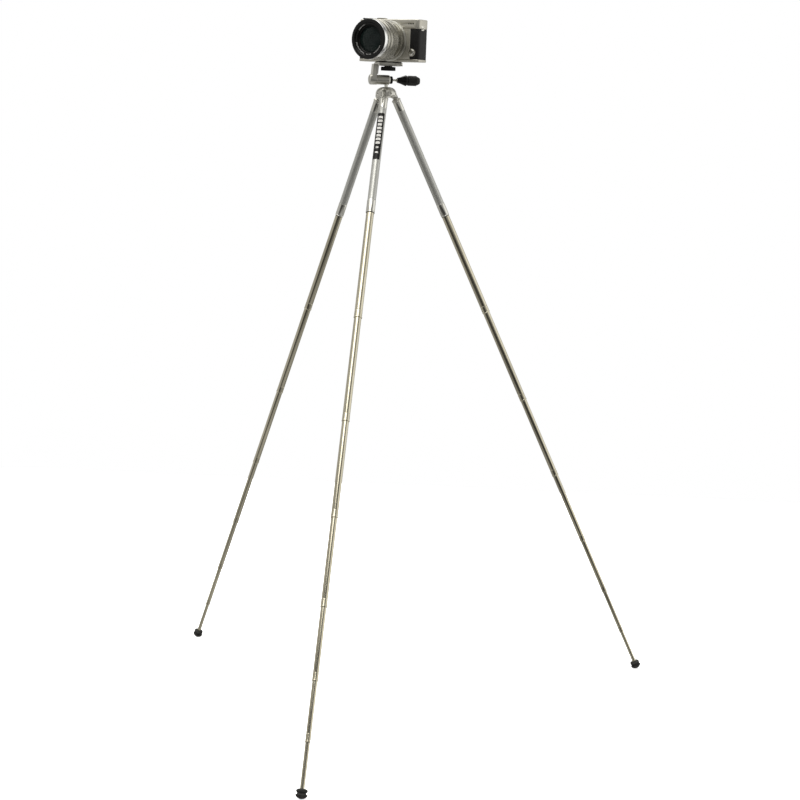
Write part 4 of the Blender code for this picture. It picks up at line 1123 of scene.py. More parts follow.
def make_pan():
    """The post, and the barrel along the tilt axis with its black friction disc."""
    low, high = extent("pan_post", UPRIGHT)
    post = (high.x - low.x) / 2
    neck = low.z + 8 * MM
    profile = [
        (0, high.z), (post, high.z),
        *offsets(post, neck, (0, 1.2), (-0.35, 0.6), (-0.35, 0), (0, -0.5)),
        *offsets(post, low.z, (0, 0.4), (-0.4, 0)), (0, low.z),
    ]
    mesh = lathe(rounded(profile, 0.15 * MM, 3), 56)
    add_piece("post_skin", mesh, "steel", "pan", UPRIGHT, ("pan_post",))

    along = PAN @ ALONG_X
    low, high = extent("head_barrel", along)
    wide = high.y
    nose = 6.2 * MM
    bore = 2.1 * MM
    profile = [
        *offsets(bore, high.z, (0, -0.4), (0.3, 0)), *offsets(nose, high.z, (-0.3, 0), (0, -0.3)),
        *arc((nose, high.z - 2.6 * MM), 1.7 * MM, 80, 0, 10),
        *offsets(wide, low.z, (0, 0.35), (-0.35, 0)), (bore, low.z),
    ]
    barrel = lathe(profile, 96, True)
    socket = disc(3.0 * MM, -12 * MM, -5.5 * MM, ALONG_X.inverted())
    mesh = carved(barrel, [socket])
    add_piece("barrel_skin", mesh, "cast", "pan", along, ("head_barrel",), 40)

    low, high = extent("friction_disc", along)
    wide = high.y
    profile = [
        (bore, high.z - 0.3 * MM), *offsets(wide, high.z, (-2.8, -0.3), (-2.4, 0)),
        *arc((wide - 1.5 * MM, high.z - 1.5 * MM), 1.5 * MM, 90, 0, 6),
        *offsets(wide, low.z, (0, 1.3), (-0.35, 1.0), (-0.35, 0.7), (0, 0.5), (-0.3, 0)), (bore, low.z),
    ]
    add_piece(
        "friction_disc_skin", lathe(profile, 72, True), "plastic", "pan", along, ("friction_disc",)
    )


def make_bracket():
    """Boss, leaning arm and platform in one casting, with a ribbed pad on top."""
    low, high = extent("tilt_bracket", TILT)
    bore, boss_wide, boss_start = 2.1 * MM, 8.5 * MM, -16.4 * MM
    boss_end = boss_start - 14 * MM
    dome = [
        (boss_wide * math.cos(angle), boss_end + 4 * MM * (1 - math.sin(angle)))
        for angle in (math.pi / 2 * step / 12 for step in range(12))
    ]
    profile = [
        (0, boss_start), *offsets(boss_wide, boss_start, (-0.3, 0), (0, -0.3)), *dome, (0, boss_end)
    ]
    boss = lathe(profile, 72)
    boss.transform(ALONG_X)
    plate_top = high.z
    plate_bottom = plate_top - 5 * MM
    plate_middle = (plate_top + plate_bottom) / 2
    arm_right = boss_start - 1.2 * MM
    arm_left = arm_right - 5.6 * MM
    screw_x = 2.8 * MM
    plate_width = 41 * MM
    plate_depth = 38 * MM
    rib_right = -plate_width / 2 + screw_x + 2.6 * MM
    arm = prism(
        [(arm_left - 2.4 * MM, 0), (arm_right, 0), (arm_right, plate_middle), (arm_left, plate_middle)],
        -8.5 * MM, 8.5 * MM,
    )
    rib = prism(
        [
            (arm_left + 1 * MM, 9.1 * MM), (rib_right, 9.1 * MM), (rib_right + 1.2 * MM, plate_middle),
            (arm_left + 1 * MM, plate_middle),
        ],
        -5.5 * MM, 5.5 * MM,
    )
    for web in (arm, rib):
        web.transform(TOWARDS_FRONT)
    plate = slab(
        plan(plate_width, plate_depth, 3 * MM, (screw_x, 0), 6), [(0, plate_top), (0, plate_bottom)]
    )
    notch = slab(
        plan(10 * MM, plate_depth, 0.4 * MM, (screw_x + 16 * MM, -36.5 * MM), 2),
        [(0, plate_bottom + 2 * MM), (0, plate_bottom - 2 * MM)],
    )
    rod_hole = disc(bore, boss_start - 6.3 * MM, boss_start + 2 * MM, ALONG_X, 32)
    screw_hole = disc(SCREW_HOLE, plate_bottom - 3 * MM, plate_top + 3 * MM, at(screw_x, 0, 0))
    mesh = carved(boss, [notch, rod_hole, screw_hole], 0.55 * MM, 3, [arm, rib, plate])
    add_piece("tilt_bracket_casting", mesh, "cast", "platform", TILT, ("tilt_bracket",), 40)

    low, high = extent("platform_pad", TILT)
    centre = ((low.x + high.x) / 2, (low.y + high.y) / 2)
    base = high.z - 0.45 * MM
    outline = plan(high.x - low.x, high.y - low.y, 2.4 * MM, centre, 6)
    sheet = slab(outline, softened(low.z, base, 0.2 * MM))
    hole = disc(SCREW_HOLE, low.z - MM, high.z + MM, at(screw_x, 0, 0))
    pad = carved(sheet, [hole])
    rib_count = 15
    width = high.x - low.x
    depth = high.y - low.y
    reach = depth - 3 * MM
    bars = []
    for step in range(rib_count):
        x = low.x + width * (step + 0.5) / rib_count
        parts = [(centre[1], reach)]
        if abs(x - screw_x) < 4.6 * MM:
            shift = reach / 4 + 1.3 * MM
            parts = [(centre[1] + side * shift, reach / 2 - 3.6 * MM) for side in (-1, 1)]
        for middle, length in parts:
            outline = plan(1.1 * MM, length, 0.5 * MM, (x, middle), 3)
            bars.append(slab(outline, softened(base - 0.2 * MM, high.z, 0.2 * MM, 2)))
    add_piece(
        "platform_pad_rubber", joined([pad, *bars]), "rubber_pad", "platform", TILT, ("platform_pad",)
    )


def make_camera_screw(sizes):
    """The threaded camera screw and its ribbed knob."""
    low, high = extent("screw_knob", SCREW)
    wide = high.x
    neck = 6.6 * MM
    body_top = high.z - 1.2 * MM
    valley = wide - 0.55 * MM
    profile = [
        (3.4 * MM, high.z - 0.2 * MM), *offsets(neck, high.z, (-0.3, 0), (0, -0.3)), (neck, body_top),
        *offsets(valley, body_top, (-0.3, 0), (0, -0.3)), *offsets(valley, low.z, (0, 0.3), (-0.3, 0)),
        (wide * 0.62, low.z), (wide * 0.56, low.z + 0.7 * MM), (3.4 * MM, low.z + 0.9 * MM),
    ]
    core = hoop(profile, 0.25 * MM, 3, 96)
    ring = ribs(
        "plastic", sizes.knob_ribs, valley - 0.1 * MM, 1.15 * MM, 0.62 * MM,
        (low.z + 0.3 * MM, body_top - 0.3 * MM),
    )
    add_piece("knob_skin", joined([core, ring]), "plastic", "camera_screw", SCREW, ("screw_knob",))

    low, high = extent("camera_screw", SCREW)
    root = high.x - 0.35 * MM
    profile = [(0, high.z), *offsets(root, high.z, (-0.8, 0), (0, -0.8)), (root, low.z), (0, low.z)]
    core = lathe(profile, 40)
    winding = thread("steel", root, 0.42 * MM, sizes.thread_pitch, (low.z + 9 * MM, high.z - 1.2 * MM))
    add_piece(
        "camera_screw_thread", joined([core, winding]), "steel", "camera_screw", SCREW,
        ("camera_screw",),
    )


def make_handle(sizes):
    """The clamping rod, threaded where it shows, and its black ribbed grip."""
    along = TILT @ ALONG_X
    low, high = extent("handle_rod", along)
    grip_low, grip_high = extent("handle_grip", along)
    ferrule = high.y
    rod = 1.8 * MM
    start = grip_low.z - 2 * MM
    profile = [
        (0, high.z), (rod, high.z), (rod, start + 4 * MM),
        *offsets(
            ferrule, start, (-0.2, 4), (0, 3.8), (0, 1.3), (-0.3, 1.1), (-0.3, 0.8), (0, 0.6),
            (-0.25, 0),
        ),
        *offsets(rod, start, (0, 0), (-0.2, -0.3)), (rod - 0.2 * MM, low.z), (0, low.z),
    ]
    core = lathe(profile, 48)
    winding = thread("steel", rod - 0.18 * MM, 0.2 * MM, 0.6 * MM, (start - 6.4 * MM, start - 0.5 * MM))
    add_piece("handle_rod_steel", joined([core, winding]), "steel", "handle", along, ("handle_rod",))

    low, high = grip_low, grip_high
    tip, bead, body, end = 4.2 * MM, 8.8 * MM, 8.2 * MM, 5.4 * MM
    cone_end = low.z + 15 * MM
    taper = high.z - 6 * MM
    mouth = 3.0 * MM
    waist = low.z + 5 * MM
    valley = body - 0.35 * MM
    profile = [
        (0, high.z - 0.3 * MM), *offsets(end, high.z, (-2.2, -0.3), (-1.7, 0), (-0.8, -0.1), (0, -1)),
        (valley, taper), *offsets(valley, cone_end, (0, 2.8), (-0.5, 2.0), (-0.5, 1.2)),
        *offsets(bead, cone_end, (-0.25, 0.5), (0, -0.2), (0, -1.2), (-0.5, -2)),
        (tip + 1.1 * MM, waist), *offsets(tip, low.z, (0.1, 1), (-0.3, 0)),
        *offsets(mouth, low.z, (0, 0), (0, 3)), *offsets(0, low.z, (2.1, 3), (2.1, 13), (0, 13)),
    ]
    core = lathe(rounded(profile, 0.5 * MM, 4), 96)
    flutes = ribs(
        "grip_body", sizes.grip_flutes, valley - 0.05 * MM, 1.3 * MM, 0.42 * MM,
        (cone_end + 3.4 * MM, taper - 0.2 * MM),
    )
    add_piece("grip_skin", core, "grip", "handle", along, ("handle_grip",))
    add_piece("grip_ribs", flutes, "grip_body", "handle", along)


# ---------------------------------------------------------------- camera body
def make_plates():
    """Top and bottom plates in one silver finish, with wells for what sits in them."""
    low, high = extent("top_plate", CAMERA)
    middle = (low.x + high.x) / 2
    size = high - low
    corner = 8 * MM
    plate = slab(plan(size.x, size.y, corner, (middle, 0), 12), softened(low.z, high.z, 1.5 * MM, 6))
    clear = 5 * MM
    cuts = []
    wells = {"shutter_button": 2.9 * MM, "mode_dial": 2.3 * MM, "command_dial": 2.3 * MM}
    for node, depth in wells.items():
        centre, node_low, node_high = centre_of(node, CAMERA)
        radius = (node_high.x - node_low.x) / 2 + 0.25 * MM
        cuts.append(disc(radius, high.z - depth, high.z + clear, at(centre.x, centre.y, 0), 64))
    shoe_low, shoe_high = extent("hot_shoe", CAMERA)
    well_low = (shoe_low.x - 0.3 * MM, shoe_low.y - 0.3 * MM, shoe_low.z - 0.3 * MM)
    well_high = (shoe_high.x + 0.3 * MM, shoe_high.y + 0.3 * MM, high.z + clear)
    cuts.append(block(well_low, well_high, 0.8 * MM))
    path_low = (shoe_low.x + 1.2 * MM, shoe_high.y, shoe_low.z + 0.8 * MM)
    path_high = (shoe_high.x - 1.2 * MM, high.y + clear, high.z + clear)
    cuts.append(block(path_low, path_high))
    for step in range(4):
        x = high.x - (10.6 + 2.95 * step) * MM
        place = at(x, low.y, low.z + 8 * MM) @ TOWARDS_FRONT
        cuts.append(disc(1.1 * MM, -1.2 * MM, 1.2 * MM, place, 20))
    mesh = carved(plate, cuts, 0.2 * MM)
    add_piece("top_plate_skin", mesh, "silver", "camera", CAMERA, ("top_plate",), 35)
    inside = soft_block(
        (high.x - 21.4 * MM, low.y + 0.35 * MM, low.z + 6.4 * MM),
        (high.x - 8.6 * MM, low.y + 2.4 * MM, low.z + 9.6 * MM),
        0.3 * MM,
        0.2 * MM,
    )
    add_piece("microphone_mesh", inside, "plastic", "camera", CAMERA)

    low, high = extent("bottom_plate", CAMERA)
    plate = slab(plan(size.x, size.y, corner, (middle, 0), 12), softened(low.z, high.z, 1.1 * MM, 5))
    door_low = (low.x + 7 * MM, -11 * MM, -1 * MM)
    door_high = (low.x + 27 * MM, 10 * MM, 0.45 * MM)
    cuts = [disc(SCREW_HOLE, -3 * MM, 8 * MM), block(door_low, door_high, 1.5 * MM)]
    mesh = carved(plate, cuts, 0.2 * MM)
    add_piece("bottom_plate_skin", mesh, "silver", "camera", CAMERA, ("bottom_plate",), 35)
    door = soft_block(
        (door_low[0] + 0.2 * MM, door_low[1] + 0.2 * MM, 0.02 * MM),
        (door_high[0] - 0.2 * MM, door_high[1] - 0.2 * MM, 0.6 * MM),
        1.3 * MM,
        0.15 * MM,
    )
    add_piece("battery_door", door, "silver", "camera", CAMERA)


def make_covering(sizes):
    """Leatherette round the body, and the bare metal band that the lens is mounted on."""
    low, high = extent("body_middle", CAMERA)
    middle = (low.x + high.x) / 2
    size = high - low
    button = centre_of("lens_release", CAMERA)[0]
    release_place = at(button.x, low.y, button.z) @ TOWARDS_FRONT
    lens = CAMERA.inverted() @ LENS.translation
    body = slab(
        plan(size.x, size.y, 7.6 * MM, (middle, 0), 14),
        softened(low.z - 0.25 * MM, high.z + 0.25 * MM, 0.3 * MM, 3),
    )
    mount_place = at(lens.x, low.y, lens.z) @ TOWARDS_FRONT
    cuts = [
        disc(5.6 * MM, -4.2 * MM, 4 * MM, release_place, 64),
        disc(MOUNT_HOLE, -14 * MM, 8 * MM, mount_place, 72),
    ]
    add_piece("covering", carved(body, cuts), "leather", "camera", CAMERA, ("body_middle",), 35)

    front = low.y - 0.4 * MM
    band = soft_block(
        (middle - 37 * MM, front, low.z - 0.2 * MM),
        (middle + sizes.front_band, front + 2.2 * MM, high.z + 0.2 * MM),
        0.5 * MM,
        0.08 * MM,
    )
    release = 5.55 * MM
    cuts = [
        disc(release, -4 * MM, 4 * MM, release_place, 64),
        disc(MOUNT_HOLE, -14 * MM, 8 * MM, mount_place, 72),
    ]
    add_piece("front_band", carved(band, cuts), "silver", "camera", CAMERA, (), 35)
    rim = lathe(
        rounded(
            [
                (release, 0.5 * MM), *offsets(0, 0, (6.35, 0.5), (6.5, 0.1)), (6.5 * MM, -1.2 * MM),
                (release, -1.2 * MM),
            ],
            0.15 * MM, 2, True,
        ),
        64, True,
    )
    add_piece("release_rim", rim, "silver", "camera", CAMERA @ at(0, -0.4 * MM, 0) @ release_place)
    lamp = lathe([(0, 0.25 * MM), *arc((1.6 * MM, 0), 0.35 * MM, 70, 0, 4), (1.95 * MM, -1 * MM)], 40)
    add_piece(
        "focus_lamp", lamp, "display", "camera",
        CAMERA @ at(low.x + 12 * MM, front + 0.15 * MM, high.z - 6 * MM) @ TOWARDS_FRONT,
    )


def make_lugs():
    """A strap lug and ring at each end of the body."""
    low, high = extent("top_plate", CAMERA)
    for side, name in ((1, "left"), (-1, "right")):
        end = high.x if side > 0 else low.x
        boss = soft_block(
            (-4.4 * MM, -3.6 * MM, -1.4 * MM), (4.4 * MM, 4.2 * MM, 0.7 * MM), 2.4 * MM, 0.45 * MM
        )
        eye = lathe(
            rounded(offsets(0, 0, (1.1, 1.9), (2.1, 1.9), (2.4, 0.4), (1.1, 0.4)), 0.3 * MM, 3, True),
            40, True,
        )
        ring_profile = [(3.0 * MM + x, y) for x, y in arc((0, 0), 0.42 * MM, 360, 45, 7)]
        ring = lathe(ring_profile, 40, True)
        ring.transform(at(0, -1.6 * MM, 1.6 * MM) @ Matrix.Rotation(math.radians(78), 4, "X"))
        mesh = joined([boss, eye, ring])
        outward = Matrix.Rotation(math.radians(90 * side), 4, "Y")
        place = CAMERA @ at(end - 0.4 * MM * side, -3.5 * MM, low.z + 1.0 * MM) @ outward
        upright = Matrix.Rotation(math.radians(90), 4, "Z")
        add_piece(name + "_strap_lug", mesh, "steel", "camera", place @ upright)


def make_shoe():
    """The accessory shoe: floor, two folded rails and a row of contacts."""
    middle, low, high = centre_of("hot_shoe", CAMERA)
    floor = low.z + 0.8 * MM
    shell = block(low, high, 0.9 * MM)
    rail = high.z - 0.8 * MM
    back = high.y + 5 * MM
    slot = [
        block((low.x + side, low.y + 1.2 * MM, floor), (high.x - side, back, top))
        for side, top in ((1.2 * MM, rail), (4.25 * MM, high.z + 5 * MM))
    ]
    mesh = carved(shell, slot, 0.15 * MM)
    add_piece("shoe_rails", mesh, "steel", "camera", CAMERA, ("hot_shoe",), 35)
    pads = [disc(1.9 * MM, floor - 0.1 * MM, floor + 0.12 * MM, at(middle.x, middle.y + 1 * MM, 0), 32)]
    for x, y in ((-3.4, -4), (3.4, -4), (-4.2, 0.6), (4.2, 0.6)):
        pads.append(
            disc(
                0.8 * MM, floor - 0.1 * MM, floor + 0.12 * MM,
                at(middle.x + x * MM, middle.y + y * MM, 0), 24,
            ),
        )
    add_piece("shoe_contacts", joined(pads), "collar", "camera", CAMERA)


def knurled_dial(node, body, look, count, top_shape):
    """A dial with a ribbed rim; top_shape(radius) gives the profile of its face."""
    middle, low, high = centre_of(node, CAMERA)
    radius = (high.x - low.x) / 2
    valley = radius - 0.28 * MM
    face = top_shape(valley)
    profile = [
        *[(reach, high.z + drop) for reach, drop in face], (valley, high.z - 0.75 * MM),
        *offsets(valley, low.z, (0, 0.1), (-0.3, 0)), (0, low.z),
    ]
    core = lathe(profile, 80)
    top = high.z - 0.45 * MM
    bottom = max(low.z + 0.3 * MM, high.z - 2.4 * MM)
    rim = ribs(
        look, count, valley - 0.05 * MM, math.tau * radius / count * 0.62, 0.33 * MM, (bottom, top)
    )
    place = CAMERA @ at(middle.x, middle.y, 0)
    add_piece(node + "_skin", joined([core, rim]), look, body, place, (node,))
    return place, radius, high.z


def make_controls(sizes):
    """Shutter button, power lever and two ribbed dials."""
    place, radius, top = knurled_dial(
        "mode_dial", "mode_dial", "silver_dial", sizes.dial_ribs,
        lambda wide: [
            (0, -0.25 * MM), (wide - 1.9 * MM, -0.25 * MM), *offsets(wide, 0, (-1.6, 0), (-0.5, 0)),
            (wide - 0.15 * MM, -0.12 * MM), (wide, -0.4 * MM),
        ],
    )
    ticks = ribs(
        "plastic", 9, radius - 3.6 * MM, 0.5 * MM, 0.9 * MM, (top - 0.3 * MM, top - 0.2 * MM), start=0.2
    )
    dot = mark(
        "plastic", radius - 1.3 * MM, 0.7 * MM, 0.35 * MM, (top - 0.05 * MM, top + 0.04 * MM), 1.2
    )
    add_piece("mode_dial_marks", joined([ticks, dot]), "plastic", "mode_dial", place)
    knurled_dial(
        "command_dial", "command_dial", "silver_dial", 32,
        lambda wide: [
            (0, -0.35 * MM), (wide * 0.5, -0.3 * MM), (wide - 1.1 * MM, -0.05 * MM),
            (wide - 0.7 * MM, 0), (wide - 0.2 * MM, -0.1 * MM), (wide, -0.4 * MM),
        ],
    )
    middle, low, high = centre_of("shutter_button", CAMERA)
    wide = (high.x - low.x) / 2
    profile = [
        (0, high.z - 0.45 * MM), (wide * 0.45, high.z - 0.3 * MM),
        (wide - 1.0 * MM, high.z - 0.04 * MM),
        *arc((wide - 0.7 * MM, high.z - 0.7 * MM), 0.7 * MM, 90, 0, 6), (wide, low.z), (0, low.z),
    ]
    place = CAMERA @ at(middle.x, middle.y, 0)
    add_piece(
        "shutter_button_skin", lathe(profile, 56), "steel", "shutter_button", place, ("shutter_button",)
    )

    low, high = extent("power_lever", CAMERA)
    bore = wide + 0.3 * MM
    outer = 7.4 * MM
    ring = lathe(
        rounded(
            [
                (bore, high.z), *offsets(outer, high.z, (-0.5, 0), (0, -0.5)), (outer, low.z),
                (bore, low.z),
            ],
            0.25 * MM, 3, True,
        ),
        72, True,
    )
    tab = soft_block(
        (-outer - 2.8 * MM, -1.8 * MM, low.z), (-outer + 1.2 * MM, 1.8 * MM, high.z), 0.9 * MM, 0.3 * MM
    )
    lever_turn = Matrix.Rotation(math.radians(50), 4, "Z")
    tab.transform(lever_turn)
    grips = []
    for step in range(3):
        rib = soft_block(
            (-outer - 2.2 * MM + step * 0.9 * MM, -1.5 * MM, high.z - 0.2 * MM),
            (-outer - 1.75 * MM + step * 0.9 * MM, 1.5 * MM, high.z + 0.2 * MM),
            0.2 * MM,
            0.1 * MM,
        )
        rib.transform(lever_turn)
        grips.append(rib)
    add_piece(
        "power_lever_skin", joined([ring, tab, *grips]), "plastic", "power_lever", place,
        ("power_lever",),
    )

    middle = centre_of("lens_release", CAMERA)[0]
    front = extent("body_middle", CAMERA)[0].y
    place = CAMERA @ at(middle.x, front, middle.z) @ TOWARDS_FRONT
    profile = [
        *offsets(0, 0, (0, 1.95), (2.0, 1.85), (3.7, 1.55)),
        *arc((4.3 * MM, 0.55 * MM), 0.95 * MM, 78, 0, 6), (5.25 * MM, -1.9 * MM), (0, -1.9 * MM),
    ]
    add_piece(
        "lens_release_skin", lathe(profile, 64), "steel", "lens_release", place, ("lens_release",)
    )


def make_rear():
    """The folding screen, and the buttons and thumb rest beside it."""
    low, high = extent("rear_screen", CAMERA)
    back = high.y
    shell = soft_block((low.x, low.z, low.y), (high.x, high.z, back - 0.25 * MM), 2.2 * MM, 0.7 * MM)
    lying = Matrix(((1, 0, 0, 0), (0, 0, 1, 0), (0, 1, 0, 0), (0, 0, 0, 1)))
    add_piece("screen_case", flipped(shell, lying), "plastic", "rear_screen", CAMERA, ("rear_screen",))
    glass = soft_block(
        (low.x + 1.6 * MM, low.z + 1.6 * MM, back - 0.8 * MM),
        (high.x - 1.6 * MM, high.z - 1.6 * MM, back), 1.2 * MM, 0.15 * MM,
    )
    add_piece("screen_glass", flipped(glass, lying), "display", "rear_screen", CAMERA)

    face = extent("body_middle", CAMERA)[1].y
    body_high = extent("top_plate", CAMERA)[1]
    column = body_high.x - 14.5 * MM
    wheel_height = 25 * MM
    backwards = Matrix.Rotation(math.radians(-90), 4, "X")
    pad = lathe(
        rounded(
            [
                *offsets(0, 0, (3.8, 1.7), (4.4, 1.9), (8.2, 1.7), (8.6, 1.2)), (8.6 * MM, -0.5 * MM),
                (3.8 * MM, -0.5 * MM),
            ],
            0.3 * MM, 3, True,
        ),
        72, True,
    )
    knurl = ribs("plastic", 40, 8.5 * MM, 0.8 * MM, 0.3 * MM, (0.1 * MM, 1.2 * MM))
    add_piece(
        "selector_wheel", joined([pad, knurl]), "plastic", "camera",
        CAMERA @ at(column, face, wheel_height) @ backwards,
    )
    cap = lathe(
        rounded([*offsets(0, 0, (0, 2.0), (3.2, 1.8), (3.5, 1.4)), (3.5 * MM, -0.5 * MM)], 0.3 * MM, 3),
        48,
    )
    add_piece(
        "selector_button", cap, "silver_dial", "camera",
        CAMERA @ at(column, face, wheel_height) @ backwards,
    )
    buttons = []
    for x, z in ((-7.5, 10.5), (0, 9.2), (7.5, 10.5), (-8, 38.2), (8.4, 38.2)):
        button = lathe(
            rounded(
                [*offsets(0, 0, (0, 1.1), (1.9, 1.0), (2.2, 0.6)), (2.2 * MM, -0.5 * MM)], 0.25 * MM, 3
            ),
            36,
        )
        button.transform(at(column + x * MM, face, z * MM) @ backwards)
        buttons.append(button)
    add_piece("rear_buttons", joined(buttons), "plastic", "camera", CAMERA)
    rest = slab(
        plan(20 * MM, 9 * MM, 4 * MM, (0, 0), 8),
        [*offsets(0, 0, (2.6, 2.9), (1.6, 2.7), (0.7, 2.0), (0.2, 1.0)), (0, -0.5 * MM)],
    )
    add_piece("thumb_rest", rest, "leather", "camera", CAMERA @ at(column, face, 46.5 * MM) @ backwards)


def flipped(mesh, place):
    """Move a mesh by a mirroring matrix and turn its faces the right way again."""
    mesh.transform(place)
    mesh.flip_normals()
    return mesh


# ---------------------------------------------------------------- lens
def make_mount():
    low, high = extent("mount_flange", LENS)
    wide = high.y
    profile = [
        (MOUNT_HOLE, high.z),
        *offsets(wide, high.z, (-1.5, 0), (-1.1, -0.25), (-0.3, -0.35), (0, -0.7)), (wide, low.z),
        (MOUNT_HOLE, low.z),
    ]
    mesh = hoop(profile, 0.25 * MM, 3, 128)
    add_piece("mount_flange_skin", mesh, "cast", "camera", LENS, ("mount_flange",))

    low, high = extent("rear_barrel", LENS)
    wide = high.y
    bore = 24 * MM
    neck = 26 * MM  # what the zoom ring turns on
    rear_end = low.z + 12.5 * MM
    profile = [
        (bore, high.z), *offsets(neck, high.z, (-0.2, 0), (0, -0.2)), (neck, rear_end),
        *offsets(wide, rear_end, (-0.35, 0), (0, -0.35)),
        *offsets(
            wide, low.z, (0, 8.2), (-0.45, 7.9), (-0.45, 7.1), (0, 6.8), (0, 4.2), (-1.2, 0.2),
            (-1.6, 0),
        ),
        (bore, low.z),
    ]
    mesh = hoop(profile, 0.2 * MM, 2, 128)
    add_piece("rear_barrel_skin", mesh, "lens_silver", "camera", LENS, ("rear_barrel",))
    dot = mark(
        "white", wide - 0.02 * MM, 1.5 * MM, 0.09 * MM, (low.z + 9.6 * MM, low.z + 11.1 * MM),
        ZOOM_INDEX,
    )
    add_piece("zoom_index", dot, "white", "camera", LENS)


def make_rings(sizes):
    """Zoom and focus rings: turned metal; the zoom ring has fine ribs between two smooth lands, the
    focus ring a groove.
    """
    low, high = extent("zoom_ring", LENS)
    wide = high.y
    bore = 28.9 * MM
    land = 8 * MM
    lip = 1.1 * MM
    floor = wide - 0.45 * MM
    profile = [
        (bore, high.z), *offsets(wide, high.z, (-0.35, 0), (0, -0.35)), (wide, high.z - lip),
        (floor, high.z - lip - 0.4 * MM), (floor, low.z + land + 0.4 * MM), (wide, low.z + land),
        *offsets(wide, low.z + land, (0, -0.9), (-0.5, -1.3)),
        *offsets(wide, low.z, (-0.5, 0.5), (-0.9, 0)), (bore, low.z),
    ]
    core = hoop(profile, 0.2 * MM, 2, 160)
    pitch = math.tau * wide / sizes.zoom_ribs
    rim = ribs(
        "lens_silver", sizes.zoom_ribs, floor - 0.02 * MM, pitch * 0.66, 0.36 * MM,
        (low.z + land + 0.6 * MM, high.z - lip - 0.6 * MM),
    )
    add_piece("zoom_ring_skin", joined([core, rim]), "lens_silver", "zoom_ring", LENS, ("zoom_ring",))
    ticks = []
    lengths = {ZOOM_INDEX: 1.9, 1.15: 1.3, 0.95: 1.3, 0.72: 1.3, 0.46: 1.3, 0.13: 1.9}
    for angle, length in lengths.items():
        span = (low.z + 1.0 * MM, low.z + (1.0 + length) * MM)
        ticks.append(mark("plastic", wide - 0.53 * MM, 0.42 * MM, 0.08 * MM, span, angle))
    add_piece("zoom_scale", joined(ticks), "plastic", "zoom_ring", LENS)

    low, high = extent("focus_ring", LENS)
    wide = high.y
    line = high.z - 7.6 * MM
    groove = 0.45 * MM
    profile = [
        (bore, high.z), *offsets(wide, high.z, (-0.3, 0), (0, -0.3)), (wide, line + 0.3 * MM),
        (wide - groove, line), (wide - groove, line - 0.5 * MM),
        *offsets(wide, line, (0.25, -0.9), (0.45, -1.5)), *offsets(wide, low.z, (0.45, 0.6), (0.15, 0)),
        (bore, low.z),
    ]
    core = hoop(profile, 0.15 * MM, 2, 160)
    add_piece("focus_ring_skin", core, "lens_silver", "focus_ring", LENS, ("focus_ring",))


def make_front(sizes):
    """The sliding inner barrel, and the black front ring with its filter thread and marks."""
    low, high = extent("inner_barrel", LENS)
    wide = high.y
    profile = tube_wall(wide, wide - 1.8 * MM, low.z, high.z, 0.3 * MM)
    add_piece(
        "inner_barrel_skin", lathe(profile, 128, True), "gloss_black", "lens_front", LENS,
        ("inner_barrel",),
    )

    low, high = extent("front_ring", LENS)
    wide = high.y
    bore = 25.8 * MM
    shelf = high.z - 2.9 * MM
    seat = high.z - 11.6 * MM
    rim = high.z - 2.6 * MM
    sleeve = [
        *offsets(wide, rim, (-0.9, 0), (-0.25, 0), (0, -0.25)),
        *offsets(wide, low.z, (0, 4), (-0.35, 0.35), (-0.7, 0), (-2.5, 0)),
        (wide - 2.5 * MM, rim - 0.4 * MM),
    ]
    mesh = hoop(sleeve, 0.15 * MM, 2, 160)
    # its near-white finish is a painted highlight behind the black rim
    add_piece("front_sleeve", mesh, "sleeve", "lens_front", LENS)
    profile = [
        *offsets(bore, high.z, (0.2, -0.5), (0.7, 0)), (wide - 1.6 * MM, high.z),
        *arc((wide - 1.2 * MM, high.z - 1.1 * MM), 1.1 * MM, 80, 0, 8),
        *offsets(wide, rim, (-0.1, 0.4), (-0.5, 0.05), (-1.0, 0), (-2.6, -0.4)),
        (wide - 2.6 * MM, low.z + 0.2 * MM), (18.6 * MM, low.z + 0.2 * MM),
        *offsets(0, seat, (18.6, 0), (20.2, 0)),
        *offsets(0, high.z, (20.2, -7.2), (20.6, -6.6), (21.2, -6.2)),
        *offsets(0, shelf, (22.4, -0.4), (22.9, 0)), (bore, shelf),
    ]
    ring = hoop(profile, 0.12 * MM, 2, 144)
    coil = thread(
        "gloss_black", bore + 0.02 * MM, 0.26 * MM, sizes.filter_pitch,
        (shelf + 0.5 * MM, high.z - 0.8 * MM),
    )
    add_piece(
        "front_ring_skin", joined([ring, coil]), "gloss_black", "lens_front", LENS, ("front_ring",)
    )
    marks = []
    span = (shelf - 0.03 * MM, shelf + 0.07 * MM)
    for start, end in ((-165, -108), (-98, -76), (-64, -22), (112, 148)):
        count = max(3, round((end - start) / 4.2))
        sweep = math.radians(end - start)
        marks.append(
            ribs("marking", count, 23.8 * MM, 1.0 * MM, 0.9 * MM, span, sweep, math.radians(start))
        )
    add_piece("front_marks", joined(marks), "marking", "lens_front", LENS)


